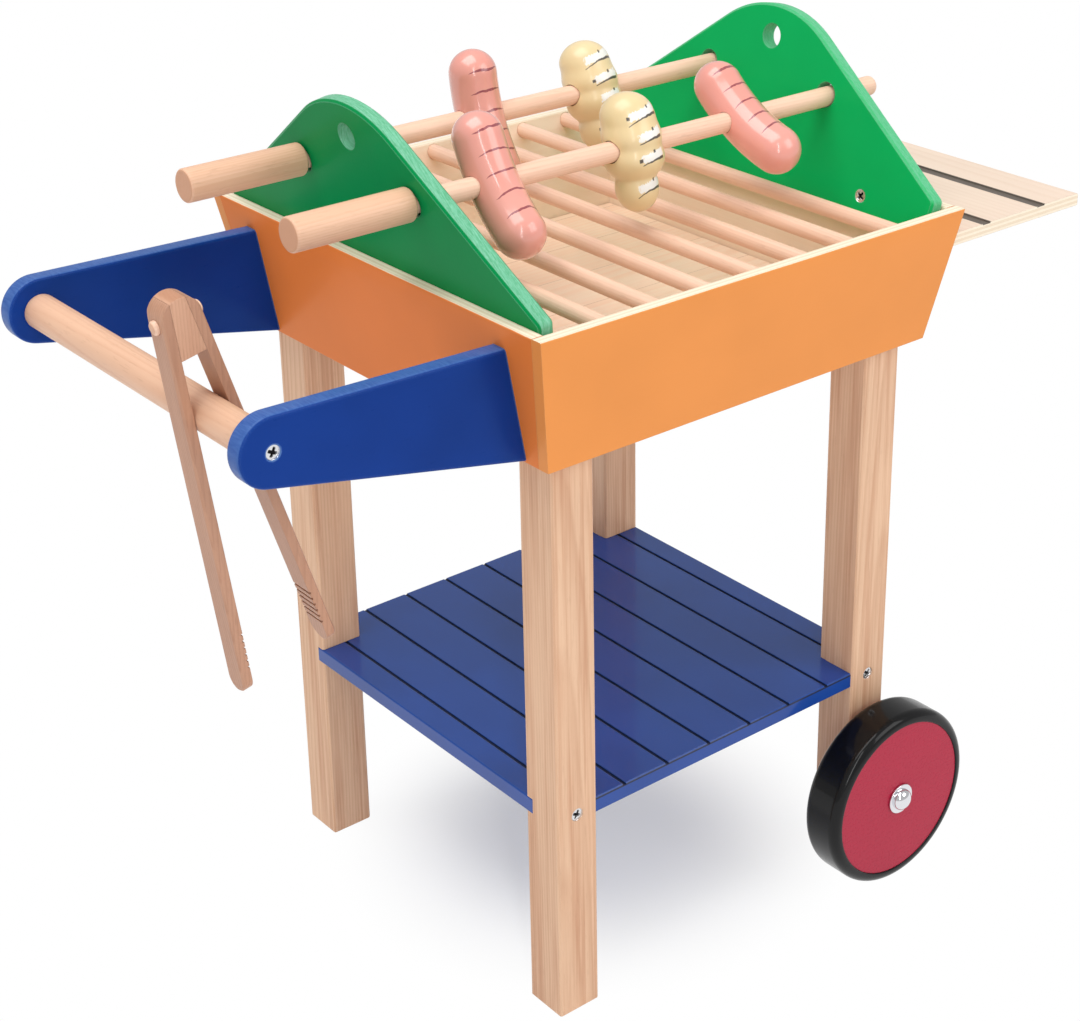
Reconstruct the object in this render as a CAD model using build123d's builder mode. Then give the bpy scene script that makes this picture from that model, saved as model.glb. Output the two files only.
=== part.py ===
# Toy barbecue grill on wheels: a wooden tray with a dowel grate, two turning spits with
# pretend food, a push handle with tongs hung over it, a side shelf and a lower shelf.
# Millimetres, +Z up. +X runs from the push handle to the side shelf, -Y is the front.
# The origin lies on the floor, in the middle of the whole grill's length and width.

import os
from math import asin, atan, atan2, cos, degrees, hypot, radians, sin, tan

from build123d import *

os.makedirs("parts", exist_ok=True)

# Clearances
seat_gap = 0.1            # glued or screwed wooden faces
running_gap = 0.05        # radial gap of what turns or slides on a shaft
free_gap = 0.3            # pieces of different bodies that lie side by side
overrun = 5.0             # how far a cutting tool runs past what it cuts

# Tray: four boards that lean outward, set into a hopper, on a floor board
tray_rim_length = 328.0
tray_rim_width = 332.0
tray_rim_height = 463.0
tray_depth = 85.4
tray_flare = 15.2         # how far each board leans outward over its height
tray_board = 8.0
tray_arris = 1.0
tray_floor_thickness = 6.0
tray_floor_rise = 9.0     # from the boards' lower edge to the floor board's underside

# Legs
leg_side = 30.0
leg_board_gap = 2.0       # from a board's lower inner edge to the leg's face
wheel_leg_clearance = 38.0
leg_arris = 1.2

# Lower shelf
shelf_height = 147.0
shelf_thickness = 10.0
shelf_inset = 1.2
shelf_arris = 0.8
shelf_housing = 6.0       # how deep the shelf enters each leg
shelf_plank_count = 9
shelf_end_plank = 18.4
shelf_groove_width = 2.6
shelf_groove_depth = 1.2

# Grate
grate_rod_count = 7
grate_rod_diameter = 10.0
grate_end_gap = 50.5      # from the tray rim's end to the middle of the first rod
grate_drop = 6.0          # from the rim down to the rods' middle
grate_rod_seat = 5.0

# Handle
arm_thickness = 12.0
arm_inset = 8.5           # from the leg's face to the arm's
arm_nose_radius = 20.0
arm_nose_reach = 142.5    # from the tray rim's end to the middle of the arm's round nose
arm_nose_drop = 30.5
arm_root_drop = 14.5      # from the rim down to the arm's upper edge
arm_root_rise = 0.8       # from the board's lower edge up to the arm's
arm_arris = 2.0
handle_bar_diameter = 21.0

# Spit panels, drawn in their own leaning plane
panel_thickness = 10.0
panel_crown_rise = 96.2   # from the tray rim to the crown, along the slope
panel_crown_radius = 76.0
panel_end_rise = 3.5      # from the rim up to where a flank meets the panel's end
panel_end_gap = 3.0
panel_foot_drop = 25.0    # how far the panel reaches down inside the tray
panel_arris = 1.5
panel_corner_radius = 4.0
panel_screw_inset = 58.0  # from the panel's end to its screw
panel_screw_drop = 7.0
spit_hole_diameter = 16.0
spare_hole_drop = 20.6    # from the crown to the middle of the spare hole

# Spits
spit_spread = 109.0       # between the two rods
spit_rise = 48.0          # from the tray rim to the rods' middle
spit_rod_diameter = 12.5
spit_grip_diameter = 20.0
spit_grip_length = 77.0
spit_grip_socket = 32.0
spit_far_reach = 32.0     # from the tray rim's end to the rod's free end
spit_nose = 3.0
spit_end_round = 1.5

# Pretend food. Places along the spits are shares of half the tray rim's length.
sausage_radius = 15.0
sausage_length = 90.0
sausage_drop = 3.4        # how far each sausage's middle hangs below its bore
sausage_bow = 4.0
sausage_place_shares = (-0.662, -0.22, 0.5)
sausage_tilts = (38.0, 22.0, 61.0)
snack_lobe_radii = (17.5, 18.5, 18.0, 13.0)
snack_lobe_rises = (15.0, 3.5, -7.5, -26.5)
snack_place_shares = (-0.033, 0.328)
snack_tilts = (8.0, 16.0)
snack_bow_shares = (1.0, 0.0, 0.1, 0.0)
snack_bow = 3.5           # how far the top lobe stands to one side
snack_blend = 1.5

# Side shelf
side_shelf_drop = 20.0    # from the rim down to the shelf's top
side_shelf_thickness = 8.0
side_shelf_inset = 11.0   # from the rim's side to the shelf's
side_shelf_reach = 123.0  # from the tray rim's end to the shelf's outer edge
side_stripe_width = 7.0
side_stripe_depth = 0.8
side_stripe_inset = 37.0
side_stripe_pitch = 52.0
side_shelf_arris = 0.8

# Wheels
wheel_radius = 62.0
wheel_width = 29.0
disc_radius = 54.5
disc_recess = 0.8
tyre_shoulder = 6.0
wheel_hub_radius = 13.0
wheel_leg_gap = 5.0       # between a leg and the wheel's inner face
axle_diameter = 8.0
axle_socket = 25.0        # how deep each axle pin enters its leg
cap_flange_radius = 10.5
cap_flange_thickness = 1.4
cap_dome_radius = 7.5

# Tongs
tongs_inset = 65.5        # from the front arm's outer face to the tongs' middle
tongs_lean = -12.5
tongs_spread = 5.0        # each arm's angle to the tongs' middle plane
tongs_arm_width = 16.0
tongs_arm_thickness = 6.0
tongs_top = 70.0          # above the handle bar's axis, along the tongs
tongs_tip = 166.0         # below it
tongs_block_length = 33.0
tongs_pin_drop = 13.0     # from the tongs' top to the pin
tongs_pin_diameter = 8.0
tongs_pin_proud = 2.5     # how far the pin stands out of each arm
tongs_pin_round = 1.8
tongs_groove_count = 6
tongs_groove_pitch = 4.2
tongs_groove_width = 1.4
tongs_groove_depth = 0.9
tongs_groove_start = 16.0
tongs_arris = 1.0

# Screws, with a countersunk head
screw_shank_radius = 2.0
screw_head_radius = 4.2
screw_head_depth = 2.4
screw_recess = 0.6
leg_screw_length = 50.0
handle_screw_length = 45.0
arm_screw_length = 36.0
panel_screw_length = 16.0
floor_screw_length = 30.0
side_screw_length = 34.0
side_screw_shank_radius = 1.6
side_screw_head_radius = 3.0
side_screw_share = 1 / 3     # of the side shelf's width, from its middle to an outer screw

# Shared places

tray_base_length = tray_rim_length - 2 * tray_flare
tray_base_width = tray_rim_width - 2 * tray_flare
tray_base_height = tray_rim_height - tray_depth
lean = atan(tray_flare / tray_depth)
board_run = tray_board / cos(lean)


def wall_x(height):
    """Half the tray's outer length at a height."""
    return tray_rim_length / 2 + (height - tray_rim_height) * tan(lean)


def wall_y(height):
    """Half the tray's outer width at a height."""
    return tray_rim_width / 2 + (height - tray_rim_height) * tan(lean)


tongs_angle = radians(tongs_lean)
spread = radians(tongs_spread)
bar_touch = (handle_bar_diameter / 2 + free_gap) / cos(spread)


def arm_gap(height):
    """Half the gap between the tongs' arms at a height above the bar's axis."""
    return bar_touch - height * tan(spread)


tongs_arm_depth = tongs_arm_thickness / cos(spread)
tongs_pin_height = tongs_top - tongs_pin_drop
tongs_pin_reach = arm_gap(tongs_pin_height) + tongs_arm_depth + tongs_pin_proud
handle_x = tray_rim_length / 2 + arm_nose_reach
low_x = (
    -handle_x
    + tongs_pin_height * sin(tongs_angle)
    - (tongs_pin_reach - tongs_pin_round) * cos(tongs_angle)
    + (tongs_pin_diameter / 2 - tongs_pin_round) * sin(tongs_angle)
    - tongs_pin_round
)
high_x = tray_rim_length / 2 + side_shelf_reach
tray_x = -(low_x + high_x) / 2

leg_outer_x = tray_base_length / 2 - board_run - leg_board_gap
leg_outer_y = tray_base_width / 2 - board_run - leg_board_gap
leg_x = leg_outer_x - leg_side / 2
leg_y = leg_outer_y - leg_side / 2
leg_top = tray_base_height + tray_floor_rise
floor_top = leg_top + tray_floor_thickness
axle_x = tray_x + leg_x
axle_inner_y = leg_outer_y - axle_socket
bar_x = tray_x - handle_x
bar_height = tray_rim_height - arm_nose_drop
arm_face_y = leg_outer_y - arm_inset
arm_root_top = tray_rim_height - arm_root_drop
arm_root_bottom = tray_base_height + arm_root_rise
tongs_y = -arm_face_y + tongs_inset
grate_height = tray_rim_height - grate_drop
spit_y = spit_spread / 2
spit_height = tray_rim_height + spit_rise
side_shelf_height = tray_rim_height - side_shelf_drop
side_shelf_width = tray_rim_width - 2 * side_shelf_inset
shelf_middle = shelf_height - shelf_thickness / 2


def inner_face(height, y=0.0):
    """Plane on the handle-end board's inner face: x runs along +Y, y runs up the slope."""
    return Plane(
        origin=(tray_x - wall_x(height) + board_run, y, height),
        x_dir=(0, 1, 0),
        z_dir=(cos(lean), 0, sin(lean)),
    )


rim_plane = inner_face(tray_rim_height)
shelf_end = Plane.YZ.offset(tray_x)


def screw(length, shank=screw_shank_radius, head=screw_head_radius, grow=0.0):
    """Countersunk screw with its head flush at z = 0 and its tip at z = -length."""
    with BuildPart(mode=Mode.PRIVATE) as one:
        with BuildSketch(Plane.XZ):
            with BuildLine():
                Polyline(
                    (0, 0),
                    (head + grow, 0),
                    (shank + grow, -screw_head_depth),
                    (shank + grow, -length + shank),
                    (0, -length - grow),
                    close=True,
                )
            make_face()
        revolve(axis=Axis.Z)
    return one.part


def recess(head=screw_head_radius):
    """The well above a sunk screw's head."""
    with BuildPart(mode=Mode.PRIVATE) as well:
        Cylinder(head + seat_gap, overrun, align=(Align.CENTER, Align.CENTER, Align.MIN))
    return well.part


def screws(planes, length, shank=screw_shank_radius, head=screw_head_radius):
    """A group of separate screws, one on each plane."""
    return Compound([plane * screw(length, shank, head) for plane in planes])


def screw_holes(planes, length, shank=screw_shank_radius, head=screw_head_radius):
    """What is cut from the wood round such a group."""
    return [
        plane * tool
        for plane in planes
        for tool in (screw(length, shank, head, seat_gap), recess(head))
    ]


def write(piece, name):
    """Label one finished piece and write it under its own name."""
    piece.label = name
    export_step(piece, f"parts/{name}.step")


# Where the screws sit. Each plane's z points out of the screw's head.

leg_screw_planes = [
    Plane(
        origin=(tray_x + end * leg_x, side * (leg_outer_y - screw_recess), shelf_middle),
        x_dir=(1, 0, 0),
        z_dir=(0, side, 0),
    )
    for end in (-1, 1)
    for side in (-1, 1)
]
handle_screw_planes = [
    Plane(
        origin=(bar_x, side * (arm_face_y - screw_recess), bar_height),
        x_dir=(1, 0, 0),
        z_dir=(0, side, 0),
    )
    for side in (-1, 1)
]
arm_middle_y = arm_face_y - arm_thickness / 2
arm_screw_shares = (0.3, 0.75)
arm_screw_heights = [
    arm_root_bottom + (arm_root_top - arm_root_bottom) * share for share in arm_screw_shares
]
arm_screw_planes = [
    inner_face(height, side * arm_middle_y) for side in (-1, 1) for height in arm_screw_heights
]
floor_screw_planes = [
    Plane(origin=(tray_x + end * leg_x, side * leg_y, floor_top))
    for end in (-1, 1)
    for side in (-1, 1)
]
panel_screw_y = wall_y(tray_rim_height) - board_run - panel_end_gap - panel_screw_inset
panel_face = rim_plane.offset(panel_thickness)
panel_screw_planes = [
    Plane(
        origin=panel_face.from_local_coords((side * panel_screw_y, -panel_screw_drop, 0)),
        x_dir=(0, 1, 0),
        z_dir=panel_face.z_dir,
    )
    for side in (-1, 1)
]
side_screw_height = side_shelf_height - side_shelf_thickness / 2
side_screw_y = side_shelf_width * side_screw_share
side_screw_x = tray_x + wall_x(side_screw_height) - board_run + screw_recess
side_screw_planes = [
    Plane(
        origin=(side_screw_x, y, side_screw_height),
        x_dir=(0, 1, 0),
        z_dir=(-1, 0, 0),
    )
    for y in (-side_screw_y, 0, side_screw_y)
]

# Legs: square posts with eased arrises. The wheel pair ends above the floor and is
# bored for the wheels' pins. The shelf's corner strip sits in a housing across each leg.
for end, end_name in ((-1, "handle"), (1, "wheel")):
    for side, side_name in ((-1, "front"), (1, "back")):
        leg_bottom = 0 if end < 0 else wheel_leg_clearance
        with BuildPart() as leg:
            with BuildSketch(Plane.XY.offset(leg_bottom)):
                with Locations((tray_x + end * leg_x, side * leg_y)):
                    Rectangle(leg_side, leg_side)
            extrude(amount=leg_top - leg_bottom)
            chamfer(leg.edges().filter_by(Axis.Z), leg_arris)
            chamfer(leg.faces().sort_by(Axis.Z)[0].edges(), leg_arris)
            with BuildSketch(Plane.XY.offset(shelf_height - shelf_thickness - seat_gap)):
                with Locations((tray_x + end * leg_x, side * (leg_outer_y - leg_side))):
                    Rectangle(leg_side + overrun, 2 * (shelf_housing + seat_gap))
            extrude(amount=shelf_thickness + 2 * seat_gap, mode=Mode.SUBTRACT)
            if end > 0:
                with BuildSketch(Plane.XZ.offset(-side * (axle_inner_y - seat_gap))):
                    with Locations((axle_x, wheel_radius)):
                        Circle(axle_diameter / 2 + running_gap)
                extrude(amount=-side * (axle_socket + overrun), mode=Mode.SUBTRACT)
            add(screw_holes(leg_screw_planes, leg_screw_length), mode=Mode.SUBTRACT)
            add(screw_holes(floor_screw_planes, floor_screw_length), mode=Mode.SUBTRACT)
        write(leg.part, f"leg_{end_name}_{side_name}")

# Lower shelf: one painted board with grooves like planks, notched round the legs
with BuildPart() as lower_shelf:
    with BuildSketch(Plane.XY.offset(shelf_height - shelf_thickness)):
        with Locations((tray_x, 0)):
            Rectangle(2 * leg_outer_x, 2 * (leg_outer_y - shelf_inset))
            notch_y = leg_outer_y - leg_side + shelf_housing
            for end in (-1, 1):
                for side in (-1, 1):
                    with Locations((end * leg_x, side * (notch_y + leg_side / 2))):
                        Rectangle(leg_side + 2 * seat_gap, leg_side, mode=Mode.SUBTRACT)
    extrude(amount=shelf_thickness)
    shelf_top = lower_shelf.faces().sort_by(Axis.Z)[-1]
    chamfer(shelf_top.edges().sort_by(SortBy.LENGTH)[-4:], shelf_arris)
    groove_count = shelf_plank_count - 1
    groove_pitch = 2 * (leg_outer_x - shelf_end_plank) / (groove_count - 1)
    with BuildSketch(Plane.XY.offset(shelf_height)):
        with Locations((tray_x, 0)):
            with GridLocations(groove_pitch, 0, groove_count, 1):
                Rectangle(shelf_groove_width, 2 * leg_outer_y)
    extrude(amount=-shelf_groove_depth, mode=Mode.SUBTRACT)
    add(screw_holes(leg_screw_planes, leg_screw_length), mode=Mode.SUBTRACT)
write(lower_shelf.part, "lower_shelf")
write(screws(leg_screw_planes, leg_screw_length), "shelf_screws")


def leaning_board(base_size, rim_size, base_place, rim_place):
    """A board lofted between its rectangles at the tray's base and at its rim."""
    with BuildPart(mode=Mode.PRIVATE) as board:
        with BuildSketch(Plane.XY.offset(tray_base_height)):
            with Locations(base_place):
                Rectangle(*base_size)
        with BuildSketch(Plane.XY.offset(tray_rim_height)):
            with Locations(rim_place):
                Rectangle(*rim_size)
        loft(ruled=True)
        rim_edges = board.faces().sort_by(Axis.Z)[-1].edges().sort_by(SortBy.LENGTH)[-2:]
        fillet(rim_edges, tray_arris)
    return board.part


# Grate rods: seven dowels across the tray, let into the front and back boards
rod_half_length = wall_y(grate_height) - board_run + grate_rod_seat
rod_span = tray_rim_length - 2 * grate_end_gap
rod_places = [
    tray_x + rod_span * (number / (grate_rod_count - 1) - 1 / 2)
    for number in range(grate_rod_count)
]
for number, place in enumerate(rod_places, start=1):
    with BuildPart() as grate_rod:
        with BuildSketch(Plane.XZ.offset(-rod_half_length)):
            with Locations((place, grate_height)):
                Circle(grate_rod_diameter / 2)
        extrude(amount=2 * rod_half_length)
    write(grate_rod.part, f"grate_rod_{number}")

# Tray boards: the front and back boards run the whole length, the end boards sit
# between them. Spit panels, handle arms and side shelf are screwed to the end boards.
for side, side_name in ((-1, "front"), (1, "back")):
    with BuildPart() as long_board:
        add(
            leaning_board(
                (tray_base_length, board_run),
                (tray_rim_length, board_run),
                (tray_x, side * (tray_base_width - board_run) / 2),
                (tray_x, side * (tray_rim_width - board_run) / 2),
            )
        )
        with BuildSketch(Plane.XZ):
            with Locations([(place, grate_height) for place in rod_places]):
                Circle(grate_rod_diameter / 2 + seat_gap)
        extrude(amount=-side * (rod_half_length + seat_gap), mode=Mode.SUBTRACT)
    write(long_board.part, f"tray_board_{side_name}")

end_base_size = (board_run, tray_base_width - 2 * board_run)
end_rim_size = (board_run, tray_rim_width - 2 * board_run)
with BuildPart() as handle_end_board:
    add(
        leaning_board(
            end_base_size,
            end_rim_size,
            (tray_x - (tray_base_length - board_run) / 2, 0),
            (tray_x - (tray_rim_length - board_run) / 2, 0),
        )
    )
    add(screw_holes(arm_screw_planes, arm_screw_length), mode=Mode.SUBTRACT)
    add(screw_holes(panel_screw_planes, panel_screw_length), mode=Mode.SUBTRACT)
write(handle_end_board.part, "tray_board_handle_end")

with BuildPart() as shelf_end_board:
    add(
        leaning_board(
            end_base_size,
            end_rim_size,
            (tray_x + (tray_base_length - board_run) / 2, 0),
            (tray_x + (tray_rim_length - board_run) / 2, 0),
        )
    )
    for tool in screw_holes(panel_screw_planes, panel_screw_length):
        add(mirror(tool, about=shelf_end), mode=Mode.SUBTRACT)
    add(
        screw_holes(
            side_screw_planes, side_screw_length, side_screw_shank_radius, side_screw_head_radius
        ),
        mode=Mode.SUBTRACT,
    )
write(shelf_end_board.part, "tray_board_shelf_end")

# Tray floor: rests on the four leg tops, between the leaning boards
with BuildPart() as tray_floor:
    with BuildSketch(Plane.XY.offset(leg_top)):
        with Locations((tray_x, 0)):
            Rectangle(
                2 * (wall_x(leg_top) - board_run - seat_gap),
                2 * (wall_y(leg_top) - board_run - seat_gap),
            )
    extrude(amount=tray_floor_thickness)
    add(screw_holes(floor_screw_planes, floor_screw_length), mode=Mode.SUBTRACT)
write(tray_floor.part, "tray_floor")
write(screws(floor_screw_planes, floor_screw_length), "tray_floor_screws")

# Handle arms: a round nose and a deep root, cut to the end board's lean
for side, side_name in ((-1, "front"), (1, "back")):
    nose = (bar_x, bar_height)
    root_top = (tray_x - wall_x(arm_root_top), arm_root_top)
    root_bottom = (tray_x - wall_x(arm_root_bottom), arm_root_bottom)
    low_face = -arm_face_y if side < 0 else arm_face_y - arm_thickness
    with BuildPart() as arm:
        with BuildSketch(Plane.XZ.offset(-low_face)):
            with Locations(nose):
                Circle(arm_nose_radius)
            with BuildLine():
                Polyline(root_top, root_bottom, nose, close=True)
            make_face()
            make_hull()
        extrude(amount=-arm_thickness)
        long_edges = arm.faces().filter_by(Axis.Y).edges()
        root_face = arm.faces().sort_by(Axis.X)[-1]
        fillet(long_edges - root_face.edges(), arm_arris)
        add(screw_holes(arm_screw_planes, arm_screw_length), mode=Mode.SUBTRACT)
        add(screw_holes(handle_screw_planes, handle_screw_length), mode=Mode.SUBTRACT)
    write(arm.part, f"handle_arm_{side_name}")
write(screws(arm_screw_planes, arm_screw_length), "arm_screws")

# Handle bar: a dowel between the arms
bar_half_length = arm_face_y - arm_thickness
with BuildPart() as handle_bar:
    with BuildSketch(Plane.XZ.offset(-bar_half_length)):
        with Locations((bar_x, bar_height)):
            Circle(handle_bar_diameter / 2)
    extrude(amount=2 * bar_half_length)
    add(screw_holes(handle_screw_planes, handle_screw_length), mode=Mode.SUBTRACT)
write(handle_bar.part, "handle_bar")
write(screws(handle_screw_planes, handle_screw_length), "handle_screws")

# Spit panels: a round crown with straight flanks falling to low ends, flat against each
# end board, with two spit holes and a spare hole above them
crown_centre = panel_crown_rise - panel_crown_radius


def panel_half(rise):
    """Half the panel's length at a rise above the rim, along the slope."""
    height = tray_rim_height + rise * cos(lean)
    return wall_y(height) - board_run - panel_end_gap


panel_end_half = panel_half(panel_end_rise)
panel_foot_half = panel_half(-panel_foot_drop)
end_reach = hypot(panel_end_half, crown_centre - panel_end_rise)
flank = atan2(crown_centre - panel_end_rise, panel_end_half) + asin(panel_crown_radius / end_reach)
tangent_y = panel_crown_radius * sin(flank)
tangent_rise = crown_centre + panel_crown_radius * cos(flank)
panel_hole_rise = (
    spit_height
    - spit_rod_diameter / 2
    - free_gap
    + spit_hole_diameter / 2 * cos(lean)
    - panel_thickness * sin(lean)
    - tray_rim_height
) / cos(lean)

with BuildPart() as handle_panel:
    with BuildSketch(rim_plane):
        with BuildLine():
            crown = ThreePointArc(
                (-tangent_y, tangent_rise), (0, panel_crown_rise), (tangent_y, tangent_rise)
            )
            Polyline(
                (tangent_y, tangent_rise),
                (panel_end_half, panel_end_rise),
                (panel_foot_half, -panel_foot_drop),
                (-panel_foot_half, -panel_foot_drop),
                (-panel_end_half, panel_end_rise),
                (-tangent_y, tangent_rise),
            )
        make_face()
    extrude(amount=panel_thickness)
    shoulder_edges = handle_panel.edges().filter_by(
        lambda edge: abs(abs(edge.center().Y) - panel_end_half) < seat_gap
        and abs(edge.length - panel_thickness) < seat_gap
        and edge.center().Z > tray_rim_height + panel_arris
    )
    fillet(shoulder_edges, panel_corner_radius)
    top_faces = handle_panel.faces().filter_by(lambda face: abs(face.normal_at().Y) < sin(lean) / 2)
    broad_edges = top_faces.edges().filter_by(
        lambda edge: edge.center().Z > tray_rim_height + panel_arris
        and abs(edge.center().Y) < panel_end_half
    )
    outline = [
        edge for edge in broad_edges if abs(edge.length - panel_thickness) > seat_gap
    ]
    chamfer(outline, panel_arris)
    with BuildSketch(rim_plane):
        with Locations(
            (-spit_y, panel_hole_rise), (spit_y, panel_hole_rise), (0, panel_crown_rise - spare_hole_drop)
        ):
            Circle(spit_hole_diameter / 2)
    extrude(amount=panel_thickness, mode=Mode.SUBTRACT)
    add(screw_holes(panel_screw_planes, panel_screw_length), mode=Mode.SUBTRACT)
write(handle_panel.part, "spit_panel_handle_end")

with BuildPart() as shelf_panel:
    add(mirror(handle_panel.part, about=shelf_end))
write(shelf_panel.part, "spit_panel_shelf_end")
handle_end_screws = screws(panel_screw_planes, panel_screw_length)
shelf_end_screws = mirror(handle_end_screws, about=shelf_end)
write(Compound([*handle_end_screws.solids(), *shelf_end_screws.solids()]), "panel_screws")

# Spits: a thin rod with a thick grip that stops against the handle-end panel
grip_high = spit_height + spit_grip_diameter / 2
grip_inner_x = tray_x - wall_x(grip_high) + board_run - free_gap
grip_outer_x = grip_inner_x - spit_grip_length
rod_inner_x = grip_inner_x - spit_grip_socket
rod_far_x = tray_x + tray_rim_length / 2 + spit_far_reach
for side, side_name in ((-1, "front"), (1, "back")):
    with BuildPart() as spit_rod:
        with BuildSketch(Plane.YZ.offset(rod_inner_x)):
            with Locations((side * spit_y, spit_height)):
                Circle(spit_rod_diameter / 2)
        extrude(amount=rod_far_x - rod_inner_x)
        fillet(spit_rod.edges().sort_by(Axis.X)[-1], spit_nose)
    write(spit_rod.part, f"spit_rod_{side_name}")
    with BuildPart() as spit_grip:
        with BuildSketch(Plane.YZ.offset(grip_outer_x)):
            with Locations((side * spit_y, spit_height)):
                Circle(spit_grip_diameter / 2)
        extrude(amount=spit_grip_length)
        fillet(spit_grip.edges().filter_by(GeomType.CIRCLE), spit_end_round)
        with BuildSketch(Plane.YZ.offset(rod_inner_x - seat_gap)):
            with Locations((side * spit_y, spit_height)):
                Circle(spit_rod_diameter / 2 + running_gap)
        extrude(amount=spit_grip_socket + overrun, mode=Mode.SUBTRACT)
    write(spit_grip.part, f"spit_grip_{side_name}")


def food_plane(x, side, tilt):
    """Plane across a spit at x: its y runs up the food, tilted from upright to the back."""
    turn = radians(tilt)
    return Plane(
        origin=(tray_x + x, side * spit_y, spit_height),
        x_dir=(0, cos(turn), -sin(turn)),
        z_dir=(1, 0, 0),
    )


def spit_bore(plane, length):
    """The hole that lets a piece of food slide and turn on its spit."""
    with BuildPart(plane, mode=Mode.PRIVATE) as bore:
        Cylinder(spit_rod_diameter / 2 + running_gap, length)
    return bore.part


# Sausages: bowed, round-ended, bored across the middle
sausage_half = sausage_length / 2 - sausage_radius
bow_radius = (sausage_half**2 + sausage_bow**2) / (2 * sausage_bow)
bow_turn = asin(sausage_half / bow_radius)
sausage_sides = (-1, 1, -1)
for number, (share, side, tilt) in enumerate(
    zip(sausage_place_shares, sausage_sides, sausage_tilts), start=1
):
    plane = food_plane(share * tray_rim_length / 2, side, tilt)
    bow_centre = plane.from_local_coords((-bow_radius, -sausage_drop, 0))
    ends = [
        plane.from_local_coords((-sausage_bow, up * sausage_half - sausage_drop, 0))
        for up in (-1, 1)
    ]
    start = Plane(
        origin=ends[0],
        x_dir=plane.x_dir * cos(bow_turn) - plane.y_dir * sin(bow_turn),
        z_dir=plane.x_dir * sin(bow_turn) + plane.y_dir * cos(bow_turn),
    )
    with BuildPart() as sausage:
        with BuildSketch(start):
            Circle(sausage_radius)
        revolve(axis=Axis(bow_centre, plane.z_dir), revolution_arc=degrees(2 * bow_turn))
        with Locations(*ends):
            Sphere(sausage_radius)
        add(spit_bore(plane, 2 * sausage_radius + overrun), mode=Mode.SUBTRACT)
    write(sausage.part, f"sausage_{number}")

# Lobed snacks: four bulges down a bowed spine, bored across
for side, side_name, share, tilt in zip(
    (-1, 1), ("front", "back"), snack_place_shares, snack_tilts
):
    plane = food_plane(share * tray_rim_length / 2, side, tilt)
    with BuildPart() as snack:
        for radius, rise, bow_share in zip(
            snack_lobe_radii, snack_lobe_rises, snack_bow_shares
        ):
            with Locations(plane.from_local_coords((bow_share * snack_bow, rise, 0))):
                Sphere(radius)
        fillet(snack.edges(), snack_blend)
        add(spit_bore(plane, 2 * max(snack_lobe_radii) + overrun), mode=Mode.SUBTRACT)
    write(snack.part, f"snack_{side_name}")

# Side shelf: a plywood board with two dark grooves, its inner edge cut to the lean
side_shelf_bottom = side_shelf_height - side_shelf_thickness
with BuildPart() as side_shelf:
    with BuildSketch(Plane.XZ.offset(-side_shelf_width / 2)):
        with BuildLine():
            Polyline(
                (tray_x + wall_x(side_shelf_height), side_shelf_height),
                (high_x + tray_x, side_shelf_height),
                (high_x + tray_x, side_shelf_bottom),
                (tray_x + wall_x(side_shelf_bottom), side_shelf_bottom),
                close=True,
            )
        make_face()
    extrude(amount=side_shelf_width)
    chamfer(side_shelf.edges().filter_by(Axis.Y).sort_by(Axis.X)[-2:], side_shelf_arris)
    with BuildSketch(Plane.XY.offset(side_shelf_height)):
        for step in range(2):
            stripe_x = tray_x + high_x - side_stripe_inset - step * side_stripe_pitch
            with Locations((stripe_x, 0)):
                Rectangle(side_stripe_width, side_shelf_width)
    extrude(amount=-side_stripe_depth, mode=Mode.SUBTRACT)
    add(
        screw_holes(
            side_screw_planes, side_screw_length, side_screw_shank_radius, side_screw_head_radius
        ),
        mode=Mode.SUBTRACT,
    )
write(side_shelf.part, "side_shelf")
write(
    screws(side_screw_planes, side_screw_length, side_screw_shank_radius, side_screw_head_radius),
    "side_shelf_screws",
)

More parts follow.
